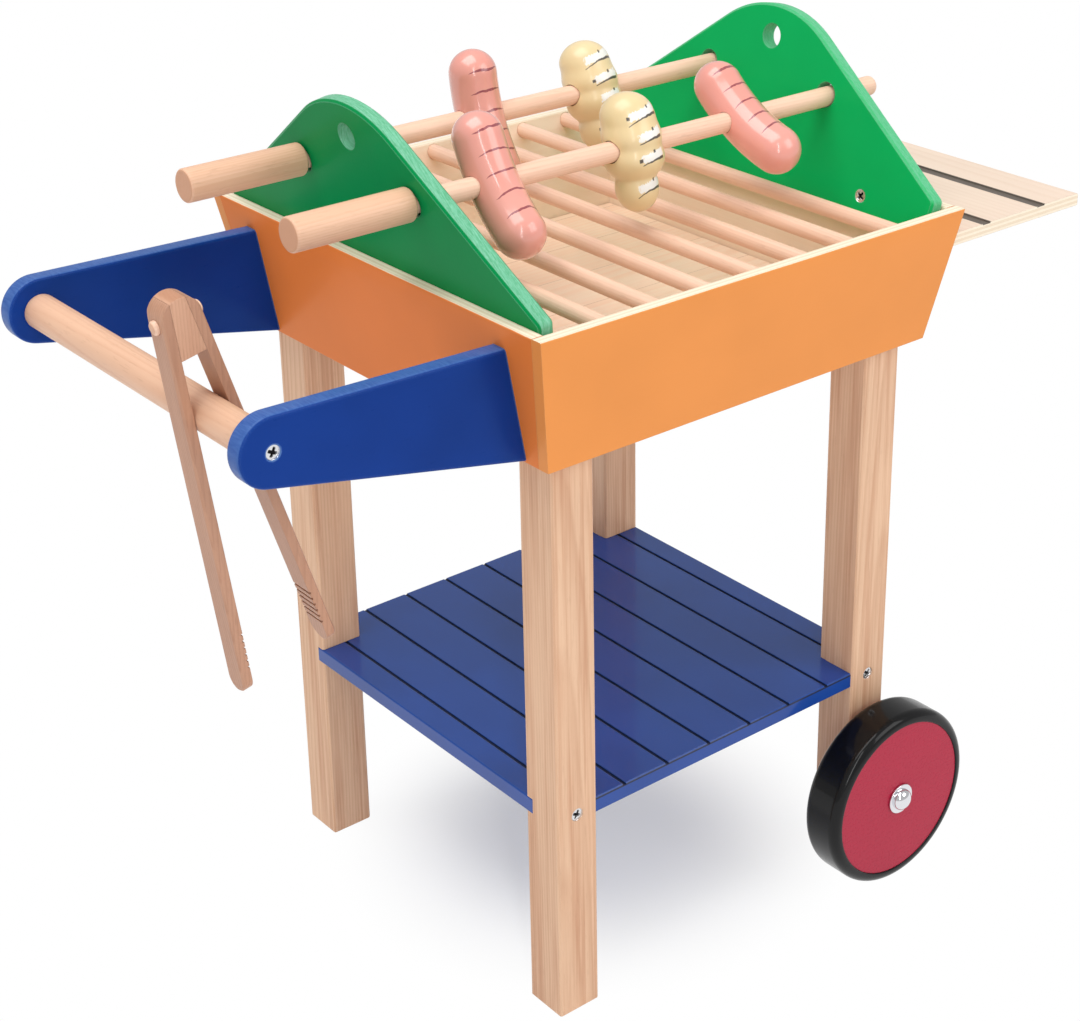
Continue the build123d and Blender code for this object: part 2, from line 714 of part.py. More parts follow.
# Wheels: a painted disc in a round-shouldered tyre, turning on a pin fixed in its leg
wheel_inner_y = leg_outer_y + wheel_leg_gap
wheel_outer_y = wheel_inner_y + wheel_width
disc_outer_y = wheel_outer_y - disc_recess
cap_inner_y = disc_outer_y + free_gap
axle_outer_y = cap_inner_y + cap_flange_thickness
for side, side_name in ((-1, "front"), (1, "back")):
    hub_plane = Plane(origin=(axle_x, 0, wheel_radius), x_dir=(1, 0, 0), z_dir=(0, side, 0))
    with BuildPart() as axle_pin:
        with BuildSketch(hub_plane.offset(axle_inner_y)):
            Circle(axle_diameter / 2)
        extrude(amount=axle_outer_y - axle_inner_y)
    write(axle_pin.part, f"axle_pin_{side_name}")
    with BuildPart() as tyre:
        with BuildSketch(hub_plane.offset(wheel_inner_y)):
            Circle(wheel_radius)
            Circle(disc_radius, mode=Mode.SUBTRACT)
        extrude(amount=wheel_width)
        rims = tyre.edges().filter_by(GeomType.CIRCLE).sort_by(SortBy.RADIUS)[-2:]
        fillet(rims, tyre_shoulder)
    write(tyre.part, f"tyre_{side_name}")
    with BuildPart() as disc:
        with BuildSketch(hub_plane.offset(wheel_inner_y + disc_recess)):
            Circle(disc_radius - seat_gap)
        extrude(amount=wheel_width - 2 * disc_recess)
        with BuildSketch(hub_plane.offset(leg_outer_y + free_gap)):
            Circle(wheel_hub_radius)
        extrude(amount=wheel_leg_gap + disc_recess)
        with BuildSketch(hub_plane):
            Circle(axle_diameter / 2 + running_gap)
        extrude(amount=wheel_outer_y + overrun, mode=Mode.SUBTRACT)
    write(disc.part, f"wheel_disc_{side_name}")
    with BuildPart() as cap:
        with BuildSketch(hub_plane.offset(cap_inner_y)):
            Circle(cap_flange_radius)
        extrude(amount=cap_flange_thickness)
        with Locations(hub_plane.offset(cap_inner_y + cap_flange_thickness).origin):
            Sphere(cap_dome_radius)
        split(bisect_by=hub_plane.offset(cap_inner_y), keep=Keep.TOP)
        with BuildSketch(hub_plane):
            Circle(axle_diameter / 2 + seat_gap)
        extrude(amount=axle_outer_y + seat_gap, mode=Mode.SUBTRACT)
    write(cap.part, f"axle_cap_{side_name}")

# Tongs: two flat arms on a spacer block, pinned through, astride the handle bar.
# Their plane has its origin on the bar's axis, x across the arms and y up the tongs.
tongs_plane = Plane(
    origin=(bar_x, tongs_y, bar_height),
    x_dir=(cos(tongs_angle), 0, -sin(tongs_angle)),
    z_dir=(0, -1, 0),
)
half_arm_width = tongs_arm_width / 2


def arm_section(mirror_sign):
    """Corners of one arm seen from the front, from its top to its tip."""
    return [
        (mirror_sign * arm_gap(tongs_top), tongs_top),
        (mirror_sign * (arm_gap(tongs_top) + tongs_arm_depth), tongs_top),
        (mirror_sign * (arm_gap(-tongs_tip) + tongs_arm_depth), -tongs_tip),
        (mirror_sign * arm_gap(-tongs_tip), -tongs_tip),
    ]


head_radius = (bar_touch + tongs_arm_depth - tongs_top * tan(spread)) / (1 - tan(spread))
head_height = tongs_top - head_radius

with BuildPart(mode=Mode.PRIVATE) as rounded_tips:
    with BuildSketch(Plane(origin=tongs_plane.origin, x_dir=(0, 1, 0), z_dir=tongs_plane.x_dir)):
        with BuildLine():
            side_line = Line(
                (-half_arm_width, -tongs_tip + half_arm_width), (-half_arm_width, tongs_top)
            )
            top_line = Line(side_line @ 1, (half_arm_width, tongs_top))
            other_line = Line(top_line @ 1, (half_arm_width, -tongs_tip + half_arm_width))
            ThreePointArc(other_line @ 1, (0, -tongs_tip), side_line @ 0)
        make_face()
    extrude(amount=tongs_tip, both=True)

with BuildPart(mode=Mode.PRIVATE) as round_head:
    with BuildSketch(tongs_plane.offset(-half_arm_width)):
        with Locations((0, head_height)):
            Circle(head_radius)
            Rectangle(2 * tongs_tip, 2 * tongs_tip, align=(Align.CENTER, Align.MAX))
    extrude(amount=tongs_arm_width)

pin_bore_radius = tongs_pin_diameter / 2 + seat_gap
pin_plane = Plane(
    origin=tongs_plane.from_local_coords((0, tongs_pin_height, 0)), z_dir=tongs_plane.x_dir
)
for sign, arm_name in ((-1, "outer"), (1, "inner")):
    with BuildPart() as tong:
        with BuildSketch(tongs_plane.offset(-half_arm_width)):
            with BuildLine():
                Polyline(*arm_section(sign), close=True)
            make_face()
        extrude(amount=tongs_arm_width)
        add(rounded_tips.part, mode=Mode.INTERSECT)
        across_arms = Axis(tongs_plane.origin, sign * tongs_plane.x_dir)
        outer_face = tong.faces().sort_by(SortBy.AREA)[-2:].sort_by(across_arms)[-1]
        top_edge = outer_face.edges().sort_by(Axis(tongs_plane.origin, tongs_plane.y_dir))[-1]
        chamfer(outer_face.edges() - [top_edge], tongs_arris)
        add(round_head.part, mode=Mode.INTERSECT)
        with BuildSketch(tongs_plane.offset(-half_arm_width - overrun)):
            for index in range(tongs_groove_count):
                groove_y = -tongs_tip + tongs_groove_start + index * tongs_groove_pitch
                with Locations((sign * arm_gap(groove_y), groove_y)):
                    Rectangle(2 * tongs_groove_depth, tongs_groove_width)
        extrude(amount=tongs_arm_width + 2 * overrun, mode=Mode.SUBTRACT)
        with BuildSketch(pin_plane):
            Circle(pin_bore_radius)
        extrude(amount=tongs_pin_reach + overrun, both=True, mode=Mode.SUBTRACT)
    write(tong.part, f"tongs_arm_{arm_name}")

with BuildPart() as tongs_block:
    with BuildSketch(tongs_plane.offset(-half_arm_width)):
        with BuildLine():
            Polyline(
                (-arm_gap(tongs_top) + seat_gap, tongs_top),
                (arm_gap(tongs_top) - seat_gap, tongs_top),
                (arm_gap(tongs_top - tongs_block_length) - seat_gap, tongs_top - tongs_block_length),
                (-arm_gap(tongs_top - tongs_block_length) + seat_gap, tongs_top - tongs_block_length),
                close=True,
            )
        make_face()
    extrude(amount=tongs_arm_width)
    add(round_head.part, mode=Mode.INTERSECT)
    with BuildSketch(pin_plane):
        Circle(pin_bore_radius)
    extrude(amount=tongs_pin_reach, both=True, mode=Mode.SUBTRACT)
write(tongs_block.part, "tongs_block")

with BuildPart() as tongs_pin:
    with BuildSketch(pin_plane):
        Circle(tongs_pin_diameter / 2)
    extrude(amount=tongs_pin_reach, both=True)
    fillet(tongs_pin.edges().filter_by(GeomType.CIRCLE), tongs_pin_round)
write(tongs_pin.part, "tongs_pin")
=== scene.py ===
import bpy
import numpy as np
from functools import partialmethod
from math import acos, atan2, cos, pi, radians, sin, tan
from mathutils import Matrix, Vector


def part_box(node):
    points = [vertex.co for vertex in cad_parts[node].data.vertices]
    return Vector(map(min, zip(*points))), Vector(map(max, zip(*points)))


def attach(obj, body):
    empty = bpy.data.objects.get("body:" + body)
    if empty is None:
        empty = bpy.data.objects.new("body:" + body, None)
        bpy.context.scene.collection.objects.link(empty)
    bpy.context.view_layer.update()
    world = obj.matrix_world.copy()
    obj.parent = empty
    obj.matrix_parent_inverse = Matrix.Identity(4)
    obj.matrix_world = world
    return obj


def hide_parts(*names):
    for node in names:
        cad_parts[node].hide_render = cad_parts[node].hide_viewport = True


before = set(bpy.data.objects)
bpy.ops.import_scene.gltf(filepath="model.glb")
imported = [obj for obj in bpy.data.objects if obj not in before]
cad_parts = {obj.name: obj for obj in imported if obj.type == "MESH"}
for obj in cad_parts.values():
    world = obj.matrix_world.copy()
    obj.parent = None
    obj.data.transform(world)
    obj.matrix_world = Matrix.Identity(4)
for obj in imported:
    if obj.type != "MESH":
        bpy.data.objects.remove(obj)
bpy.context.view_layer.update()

mm = 0.001
scene = bpy.context.scene


# places taken from the frame, and new objects

def middle(node):
    low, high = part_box(node)
    return (np.array(low) + np.array(high)) / 2


trayMiddle = middle("tray_floor")
trayX = float(trayMiddle[0])


def added(name, data):
    # a new object of the scene
    obj = bpy.data.objects.new(name, data)
    scene.collection.objects.link(obj)
    return obj


# colours and shader helpers

def linear(screen):
    # screen colour, 0 to 255, as the linear colour that a shader takes
    values = np.array(screen) / 255
    low = values / 12.92
    high = ((values + 0.055) / 1.055) ** 2.4
    return (*np.where(values <= 0.04045, low, high).tolist(), 1.0)


def tinted(colour, *factors):
    # a linear colour times one factor, or one for each part, and never brighter than 1
    return (*np.minimum(np.array(colour[:3]) * factors, 1.0).tolist(), 1.0)


class Nodes:
    # a node tree, and short ways to add and join nodes
    def __init__(self, tree):
        self.tree = tree
        tree.nodes.clear()

    def put(self, socket, value):
        if isinstance(value, bpy.types.NodeSocket):
            self.tree.links.new(value, socket)
        else:
            socket.default_value = value

    def node(self, kind, inputs=(), **settings):
        node = self.tree.nodes.new("ShaderNode" + kind)
        for key, value in settings.items():
            setattr(node, key, value)
        for key, value in dict(inputs).items():
            self.put(node.inputs[key], value)
        return node

    def math(self, operation, first, second=0.0, third=0.0):
        return self.node("Math", {0: first, 1: second, 2: third}, operation=operation).outputs[0]

    # line takes a value, a slope and a start; rest is 1 less the value
    plus = partialmethod(math, "ADD")
    minus = partialmethod(math, "SUBTRACT")
    times = partialmethod(math, "MULTIPLY")
    line = partialmethod(math, "MULTIPLY_ADD")
    rest = partialmethod(math, "SUBTRACT", 1.0)
    size = partialmethod(math, "ABSOLUTE")
    larger = partialmethod(math, "MAXIMUM")

    def step(self, value, low, high):
        # 0 below low, 1 above high, smooth between
        inputs = {"Value": value, "From Min": low, "From Max": high}
        return self.node("MapRange", inputs, interpolation_type="SMOOTHSTEP").outputs[0]

    def within(self, value, low, high, soft):
        # 1 between low and high, falling to 0 over a soft edge
        return self.times(self.step(value, low - soft, low + soft),
                          self.rest(self.step(value, high - soft, high + soft)))

    def axes(self, vector):
        return tuple(self.node("SeparateXYZ", {0: vector}).outputs)

    def vector(self, x, y, z):
        return self.node("CombineXYZ", {0: x, 1: y, 2: z}).outputs[0]

    def noise(self, vector, scale, detail=3.0, roughness=0.5):
        inputs = {"Vector": vector, "Scale": scale, "Detail": detail, "Roughness": roughness}
        return self.node("TexNoise", inputs).outputs["Fac"]

    def mix(self, share, first, second):
        return self.node("Mix", {0: share, 6: first, 7: second}, data_type="RGBA").outputs[2]

    def layers(self, colour, *tones):
        # lays tones over a colour in turn, each by a mask and the mask's strength
        for mask, strength, tone in tones:
            colour = self.mix(self.times(mask, strength), colour, tone)
        return colour

    def ramp(self, value, stops):
        # grey stops, each a position and a level
        node = self.node("ValToRGB", {0: value})
        elements = node.color_ramp.elements
        while len(elements) < len(stops):
            elements.new(0.5)
        for element, (position, level) in zip(elements, stops):
            element.position = position
            element.color = (level, level, level, 1)
        return node.outputs[0]


class Look(Nodes):
    # a material with its shader
    def __init__(self, name):
        self.material = bpy.data.materials.new(name)
        self.material.use_nodes = True
        super().__init__(self.material.node_tree)
        self.output = self.node("OutputMaterial")
        self.shader = self.node("BsdfPrincipled")
        self.put(self.output.inputs[0], self.shader.outputs[0])
        coordinates = self.node("TexCoord").outputs
        self.place, self.normal, self.uv = (coordinates[name] for name in ("Object", "Normal", "UV"))

    def spots(self, scale, detail=2.0):
        return self.noise(self.place, scale, detail)

    def scaled(self, x, y, z):
        return self.node("Mapping", {"Vector": self.place, "Scale": (x, y, z)}).outputs[0]

    def facing(self, axis):
        # 1 where the surface looks along an axis, either way, and 0 across it
        return self.size(self.axes(self.normal)["XYZ".index(axis)])

    def arris(self, reach):
        # 1 on arrises and 0 on flats: how far the rounded normal turns from the face's own
        rounded = self.node("Bevel", {"Radius": reach * mm}, samples=6).outputs[0]
        own = self.node("NewGeometry").outputs["Normal"]
        along = self.node("VectorMath", {0: rounded, 1: own}, operation="DOT_PRODUCT").outputs["Value"]
        return self.step(self.rest(along), 0.002, 0.05), rounded

    def bump(self, height, strength, depth, under=None):
        inputs = {"Height": height, "Strength": strength, "Distance": depth * mm}
        if under is not None:
            inputs["Normal"] = under
        return self.node("Bump", inputs).outputs[0]

    def done(self, colour, roughness, normal=None, **sockets):
        sockets = {"Base_Color": colour, "Roughness": roughness, **sockets}
        if normal is not None:
            sockets["Normal"] = normal
        for key, value in sockets.items():
            self.put(self.shader.inputs[key.replace("_", " ")], value)
        return self.material


# bare wood: ring, pith and sway in mm

beech = {"early": (243, 205, 180), "late": (229, 183, 154), "ring": 1.7, "pith": 17, "bands": 0.16,
         "sway": 1.2, "contrast": 0.55, "fleck": 0.34, "fibre": 0.30, "roughness": 0.42}
darkBeech = {"early": (196, 148, 120), "late": (172, 124, 98), "ring": 1.9, "pith": 30, "bands": 0.25,
             "sway": 1.6, "contrast": 0.6, "fleck": 0.36, "fibre": 0.34, "roughness": 0.42}
birch = {"early": (252, 234, 212), "late": (242, 214, 186), "ring": 5.2, "pith": 26, "bands": 0.12,
         "sway": 10.0, "contrast": 0.45, "fleck": 0.10, "fibre": 0.26, "roughness": 0.48}
woods = {
    "pine": {"early": (233, 194, 160), "late": (194, 142, 108), "ring": 2.3, "pith": 64, "bands": 0.60,
             "sway": 3.0, "contrast": 0.42, "fleck": 0.16, "fibre": 0.40, "roughness": 0.50},
    "beech": beech,
    # a darker, pinker copy of the beech for the bar and grips: pinker as that wood is, darker as painted
    # shade beside the paler copy on the rods
    "pinkShadedBeech": {**beech, "early": (232, 188, 157), "late": (216, 165, 133)},
    "darkBeech": darkBeech,
    "headBeech": {**darkBeech, "early": (216, 168, 138), "late": (194, 142, 112)},
    "paleFloor": {"early": (255, 231, 209), "late": (250, 210, 180), "ring": 4.4, "pith": 40, "bands": 0.20,
                  "sway": 6.0, "contrast": 0.55, "fleck": 0.14, "fibre": 0.30, "roughness": 0.50},
    "birch": birch,
    "shelfBirch": {**birch, "early": (234, 212, 194), "late": (222, 196, 174), "bands": 0.06},
}


def grain(look, kind, along, centre, seed):
    # Growth rings are shells round a pith line that runs along the piece at a distance;
    # noise stretched along the grain sways them and adds fibres.
    values = woods[kind]
    across = [look.minus(part, float(value)) for part, value in zip(look.axes(look.place), centre)]
    length = across.pop("XYZ".index(along))
    rng = np.random.default_rng(seed)
    turn = rng.uniform(0, 2 * pi)
    slopes = rng.uniform(-0.02, 0.02, 2)
    shifted = look.plus(across[0], float(rng.uniform(0, 9)))
    pith = (values["pith"] * mm * cos(turn), values["pith"] * mm * sin(turn))

    def stretched(share):
        return look.vector(shifted, across[1], look.times(length, share))

    slow = stretched(0.16)
    first, second = (look.minus(look.line(length, float(slope), part), off)
                     for slope, part, off in zip(slopes, across, pith))
    reach = look.math("SQRT", look.plus(look.times(first, first), look.times(second, second)))
    shell = look.plus(reach, look.times(look.noise(slow, 26.0, 2.0), values["sway"] * mm))
    ring = look.math("FRACT", look.math("DIVIDE", shell, values["ring"] * mm))
    late = look.ramp(ring, [(0.0, 0.0), (0.45, 0.18), (0.86, 1.0), (1.0, 0.02)])
    fibre = look.noise(stretched(0.02), 1500.0, 2.0, 0.6)
    fleck = look.step(look.noise(stretched(0.12), 900.0, 1.0), 0.60, 0.74)
    patch = look.step(look.noise(slow, 60.0, 2.0), 0.35, 0.75)
    bands = look.step(look.noise(stretched(0.018), 300.0, 3.0, 0.6), 0.44, 0.66)
    early, dark = linear(values["early"]), linear(values["late"])
    colour = look.layers(early, (late, values["contrast"], dark),
                         (bands, values["bands"], tinted(dark, 1.0, 0.90, 0.84)),
                         (fleck, values["fleck"], tinted(dark, 0.80)),
                         (fibre, values["fibre"], dark), (patch, 0.35, tinted(early, 1.10)))
    return colour, look.plus(look.times(fibre, 0.6), look.times(late, 0.4))


def woodFinish(name, kind, along, centre, seed):
    # darker where the grain is cut across; paler on the arrises, a painted highlight
    look = Look(name)
    values = woods[kind]
    colour, relief = grain(look, kind, along, centre, seed)
    edge, rounded = look.arris(0.9)
    cut = look.step(look.facing(along), 0.80, 0.95)
    # painted highlight: a paler tone along the arrises
    colour = look.layers(colour, (cut, 0.75, tinted(linear(values["late"]), 0.86, 0.76, 0.66)),
                         (edge, 0.40, tinted(linear(values["early"]), 1.12)))
    return look.done(colour, look.line(relief, 0.12, values["roughness"] - 0.04),
                     look.bump(relief, 0.22, 0.4, rounded))


# paint over wood: screen colours, arris in mm, the rest as shares; haze is the clear coat's roughness; the
# pale edge colour is a painted highlight on arrises and a painted sheen on sawn edges

green = {"colour": (0, 176, 92), "edgeSheen": (124, 197, 162), "roughness": 0.38, "gloss": 0.07,
         "coat": 0.04, "haze": 0.12, "specks": 0.12, "mottle": 0.14, "peel": 0.10, "wearAndSheen": 0.45,
         "arris": 0.9, "sheenStreaks": 0.9, "sheenFlecks": 0.18}
orange = {"colour": (232, 147, 74), "edgeSheen": (246, 182, 118), "roughness": 0.40, "gloss": 0.14,
          "coat": 0.05, "haze": 0.15, "specks": 0.08, "mottle": 0.08, "peel": 0.12, "wearAndSheen": 0.30,
          "arris": 0.7}
paints = {
    "blue": {"colour": (2, 52, 133), "edgeSheen": (112, 154, 216), "roughness": 0.34, "gloss": 0.07,
             "coat": 0.10, "haze": 0.12, "specks": 0.10, "mottle": 0.30, "peel": 0.10, "wearAndSheen": 0.75,
             "arris": 1.5, "sheenStreaks": 0.5, "sheenFlecks": 0.0},
    "shelfBlue": {"colour": (4, 63, 148), "edgeSheen": (60, 106, 186), "roughness": 0.30, "gloss": 0.26,
                  "coat": 0.46, "haze": 0.06, "specks": 0.06, "mottle": 0.22, "peel": 0.05, "wearAndSheen": 0.35,
                  "arris": 0.7},
    "green": green,
    # painted shade: a darker copy of the green for the handle-end panel, whose outer face lies in shade
    "shadedGreen": {**green, "colour": (0, 138, 72), "edgeSheen": (130, 198, 166), "gloss": 0.06, "coat": 0.03,
                  "mottle": 0.16, "sheenStreaks": 1.2, "sheenFlecks": 0.20},
    "orange": orange,
    # painted shade: a darker copy of the orange for the end boards
    "shadedOrange": {**orange, "colour": (229, 127, 58), "edgeSheen": (244, 166, 98), "gloss": 0.10, "coat": 0.04},
    "crimson": {"colour": (174, 24, 58), "edgeSheen": (200, 70, 96), "roughness": 0.30, "gloss": 0.20,
                "coat": 0.12, "haze": 0.12, "specks": 0.02, "mottle": 0.06, "peel": 0.02, "wearAndSheen": 0.30,
                "arris": 0.9},
}
# colour of the light flecks, a painted reflection on sawn edges
sheenFleckColour = (190, 226, 208)


def paintLayer(look, kind):
    # slow shade, fine specks, the pores of the wood beneath and a slight orange peel
    values = paints[kind]
    base = linear(values["colour"])
    light = (*(part + 0.003 for part in tinted(base, 1 + values["mottle"])[:3]), 1.0)
    dark = tinted(base, 1 - values["mottle"])
    specks = look.step(look.spots(560.0), 0.60, 0.76)
    pores = look.step(look.noise(look.scaled(0.14, 1.0, 1.0), 620.0, 2.0), 0.60, 0.72)
    colour = look.layers(look.mix(look.spots(14.0), dark, light),
                         (specks, values["specks"], light), (pores, values["specks"], dark))
    return colour, look.line(pores, -0.5, look.spots(420.0))


def paintDone(look, values, colour, roughness, height, rounded):
    return look.done(colour, roughness, look.bump(height, values["peel"], 0.3, rounded),
                     Specular_IOR_Level=values["gloss"], Coat_Weight=values["coat"],
                     Coat_Roughness=values["haze"])


def paintFinish(name, kind, broad=None):
    # a painted piece with a painted highlight on its arrises; a board's sawn edges get a painted sheen of
    # pale streaks and light flecks, broad is the axis that its broad faces look along
    look = Look(name)
    values = paints[kind]
    colour, relief = paintLayer(look, kind)
    edge, rounded = look.arris(values["arris"])
    edgeSheen = linear(values["edgeSheen"])
    if broad:
        sawn = look.rest(look.step(look.facing(broad), 0.45, 0.75))
        # painted sheen: streaks of the pale edge colour and light flecks of painted reflection on the sawn
        # edges
        sheenStreaks = look.line(look.noise(look.scaled(6.0, 0.5, 0.5), 240.0), values["sheenStreaks"], 0.05)
        sheenFlecks = look.step(look.noise(look.scaled(2.2, 0.9, 0.9), 520.0, 2.0), 0.40, 0.82)
        colour = look.layers(colour, (sawn, sheenStreaks, edgeSheen),
                             (look.times(sawn, sheenFlecks), values["sheenFlecks"], linear(sheenFleckColour)))
    # painted highlight: the pale edge colour laid along the arrises
    colour = look.layers(colour, (edge, values["wearAndSheen"], edgeSheen))
    roughness = look.line(relief, 0.08, values["roughness"] - 0.06)
    return paintDone(look, values, colour, roughness, relief, rounded)


plyTones = {"pale": ((252, 240, 220), (243, 226, 200)), "deep": ((242, 226, 202), (230, 208, 180)),
            "glue": (196, 156, 112), "strength": 0.16}


def plyLayers(look, depth, thickness, plies):
    # thin glue lines between veneers of two tones
    share = look.times(depth, plies / thickness)
    phase = look.math("FRACT", share)
    glue = look.larger(look.step(phase, 0.90, 0.99), look.rest(look.step(phase, 0.01, 0.08)))
    turned = look.step(look.math("FRACT", look.times(share, 0.5)), 0.49, 0.51)
    fibre = look.noise(look.scaled(1.0, 1.0, 3.0), 900.0, 2.0)
    pale, deep = (look.mix(fibre, *map(linear, plyTones[key])) for key in ("pale", "deep"))
    colour = look.mix(turned, pale, deep)
    return look.layers(colour, (glue, plyTones["strength"], linear(plyTones["glue"])))


# tray boards: painted outside, bare rim and inside; bare is the roughness there

board = {"rimHeight": 463.0, "halfLength": 164.0, "halfWidth": 166.0, "slope": 15.2 / 85.4,
         "thickness": 8.126, "plies": 5, "bare": 0.52}


def trayFinish(name, long, seed):
    # long is true for the front and back boards, false for the two at the ends
    look = Look(name)
    # the end boards take the darker orange copy, a painted shade
    kind = "orange" if long else "shadedOrange"
    values = paints[kind]
    x, y, z = look.axes(look.place)
    normalX, normalY, normalZ = look.axes(look.normal)
    fromMiddle = look.minus(x, trayX)
    outward = look.plus(look.times(normalX, fromMiddle), look.times(normalY, y))
    top = look.step(normalZ, 0.62, 0.72)
    painted = look.times(look.step(outward, -0.002, 0.002), look.rest(top))
    paint, peel = paintLayer(look, kind)
    bare, relief = grain(look, "birch", "X" if long else "Y", (trayX, 0, 0.42), seed)
    across, half = (y, board["halfWidth"]) if long else (fromMiddle, board["halfLength"])
    lean = look.times(look.minus(z, board["rimHeight"] * mm), -board["slope"])
    depth = look.plus(look.minus(look.size(across), half * mm), lean)
    veneers = plyLayers(look, depth, board["thickness"] * mm, board["plies"])
    edge, rounded = look.arris(values["arris"])
    # painted highlight: the pale edge colour laid along the boards' arrises
    edgeSheen = look.layers(paint, (edge, values["wearAndSheen"], linear(values["edgeSheen"])))
    colour = look.mix(painted, look.mix(top, bare, veneers), edgeSheen)
    height = look.plus(look.times(relief, 0.6), look.times(peel, 0.4))
    roughness = look.line(painted, values["roughness"] - board["bare"], board["bare"])
    return paintDone(look, values, colour, roughness, height, rounded)


# lower shelf: blue with dark grooves, which stop short of its two ends

shelf = {"shoulder": 0.25, "wall": 0.9, "bottom": 1.7, "below": 1.9, "end": 5.0, "fade": 1.0,
         "groove": (22, 28, 48), "strength": 0.90}


def shelfFinish():
    look = Look("shelfPaint")
    values = paints["shelfBlue"]
    low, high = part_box("lower_shelf")
    paint, peel = paintLayer(look, "shelfBlue")
    x, _, z = look.axes(look.place)
    under = look.rest(look.step(z, high[2] - shelf["wall"] * mm, high[2] - shelf["shoulder"] * mm))
    above = look.step(z, high[2] - shelf["below"] * mm, high[2] - shelf["bottom"] * mm)
    half = (high[0] - low[0]) / 2
    inner = look.rest(look.step(look.size(look.minus(x, trayX)),
                                half - (shelf["end"] + shelf["fade"]) * mm, half - shelf["end"] * mm))
    upward = look.step(look.axes(look.normal)[2], -0.3, -0.1)
    groove = look.times(look.times(under, above), look.times(inner, upward))
    edge, rounded = look.arris(values["arris"])
    # painted highlight along the arrises, then the dark grooves
    colour = look.layers(paint, (edge, values["wearAndSheen"], linear(values["edgeSheen"])),
                         (groove, shelf["strength"], linear(shelf["groove"])))
    return paintDone(look, values, colour, look.line(groove, 0.3, values["roughness"]), peel, rounded)


# tray floor: bare strips glued edge to edge

strips = {"width": 46.0, "joint": 0.35, "deeper": (248, 208, 176), "line": (176, 138, 104)}


def trayFloorFinish():
    look = Look("trayFloorPine")
    colour, relief = grain(look, "paleFloor", "X", trayMiddle, 77)
    share = look.math("DIVIDE", look.axes(look.place)[1], strips["width"] * mm)
    tone = look.noise(look.vector(look.math("FLOOR", share), 0.5, 0.5), 7.3, 0.0)
    phase = look.math("FRACT", share)
    reach = strips["joint"] / strips["width"]
    joint = look.larger(look.rest(look.step(phase, reach / 2, reach)),
                        look.step(phase, 1 - reach, 1 - reach / 2))
    colour = look.layers(colour, (look.step(tone, 0.35, 0.65), 0.35, linear(strips["deeper"])),
                         (joint, 0.6, linear(strips["line"])))
    return look.done(colour, 0.5, look.bump(relief, 0.18, 0.4))


# side shelf: bare plywood, two dark stripes, layered edges

sideStripes = {"inset": 37.0, "pitch": 52.0, "width": 9.4, "depth": 1.0, "plies": 5,
               "ink": ((84, 75, 68), (112, 101, 92))}


def sideShelfFinish():
    look = Look("sideShelfPly")
    low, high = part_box("side_shelf")
    bare, relief = grain(look, "shelfBirch", "Y", (high[0], 0, high[2]), 81)
    x, _, z = look.axes(look.place)
    flat = look.step(look.facing("Z"), 0.75, 0.85)
    veneers = plyLayers(look, look.minus(high[2], z), high[2] - low[2], sideStripes["plies"])
    # the dark colour fills each groove and covers a narrow strip of the top on either side of it
    lines = []
    for step in range(2):
        place = high[0] - (sideStripes["inset"] + step * sideStripes["pitch"]) * mm
        half = sideStripes["width"] / 2
        lines.append(look.rest(look.step(look.size(look.minus(x, float(place))),
                                         (half - 0.3) * mm, (half + 0.1) * mm)))
    shallow = look.step(z, high[2] - (sideStripes["depth"] + 0.2) * mm, high[2] - sideStripes["depth"] * mm)
    endways = look.step(look.facing("Y"), 0.6, 0.8)
    stripe = look.times(look.times(look.larger(*lines), shallow), look.rest(endways))
    ink = look.mix(look.noise(look.scaled(1, 0.1, 1), 900.0), *map(linear, sideStripes["ink"]))
    colour = look.mix(stripe, look.mix(flat, veneers, bare), ink)
    rounded = look.arris(0.7)[1]
    return look.done(colour, 0.5, look.bump(relief, 0.16, 0.4, rounded))


# metal and rubber

def metalFinish(name, colour, roughness, brushed=True, shadedRecess=False):
    # on a piece with a recess u is 1 in the recess, where a dark colour is painted in as shade
    look = Look(name)
    smear = look.spots(700.0 if brushed else 90.0, 3.0)
    shade = look.mix(smear, tinted(linear(colour), 0.92), linear(colour))
    if shadedRecess:
        shade = look.mix(look.axes(look.uv)[0], shade, linear((34, 33, 36)))
    normal = look.bump(smear, 0.06, 0.2) if brushed else None
    return look.done(shade, look.line(smear, 0.10, roughness - 0.04), normal, Metallic=1.0)


rubber = {"dark": (6, 6, 7), "light": (15, 15, 17), "coat": 0.38}


def tyreFinish():
    look = Look("tyreBlack")
    wearAndSheen = look.spots(60.0, 4.0)
    fine = look.spots(1600.0)
    colour = look.mix(wearAndSheen, linear(rubber["dark"]), linear(rubber["light"]))
    normal = look.bump(look.line(fine, 0.5, wearAndSheen), 0.06, 0.3)
    return look.done(colour, look.line(wearAndSheen, 0.12, 0.24), normal, Specular_IOR_Level=0.10,
                     Coat_Weight=rubber["coat"], Coat_Roughness=0.06)


# painted marks on the food; u is millimetres along / 100, v is the turn round it

sausageMarks = {"paint": (238, 160, 146), "shade": (227, 142, 127), "blush": (243, 181, 168),
                "ink": (132, 36, 56), "pitch": 14.3, "middle": 5.5, "reach": 36.5, "halfTurn": 47.0,
                "width": 0.80, "wander": 3.0, "slant": 0.014, "bow": -0.0006, "raised": 0.5,
                "roughness": 0.30, "coat": 1.0, "haze": 0.11}
snackMarks = {"paint": (238, 216, 170), "shade": (228, 201, 148), "white": (244, 242, 236),
              "ink": (40, 38, 46), "halfTurn": 33.0, "centre": 4.0, "low": -2.7, "high": 2.3, "wander": 1.4,
              "slant": -0.05, "bow": 0.0012, "ragged": 3.2, "raggedTurn": 22.0, "raised": 0.6,
              "roughness": 0.32, "coat": 0.35, "haze": 0.12}


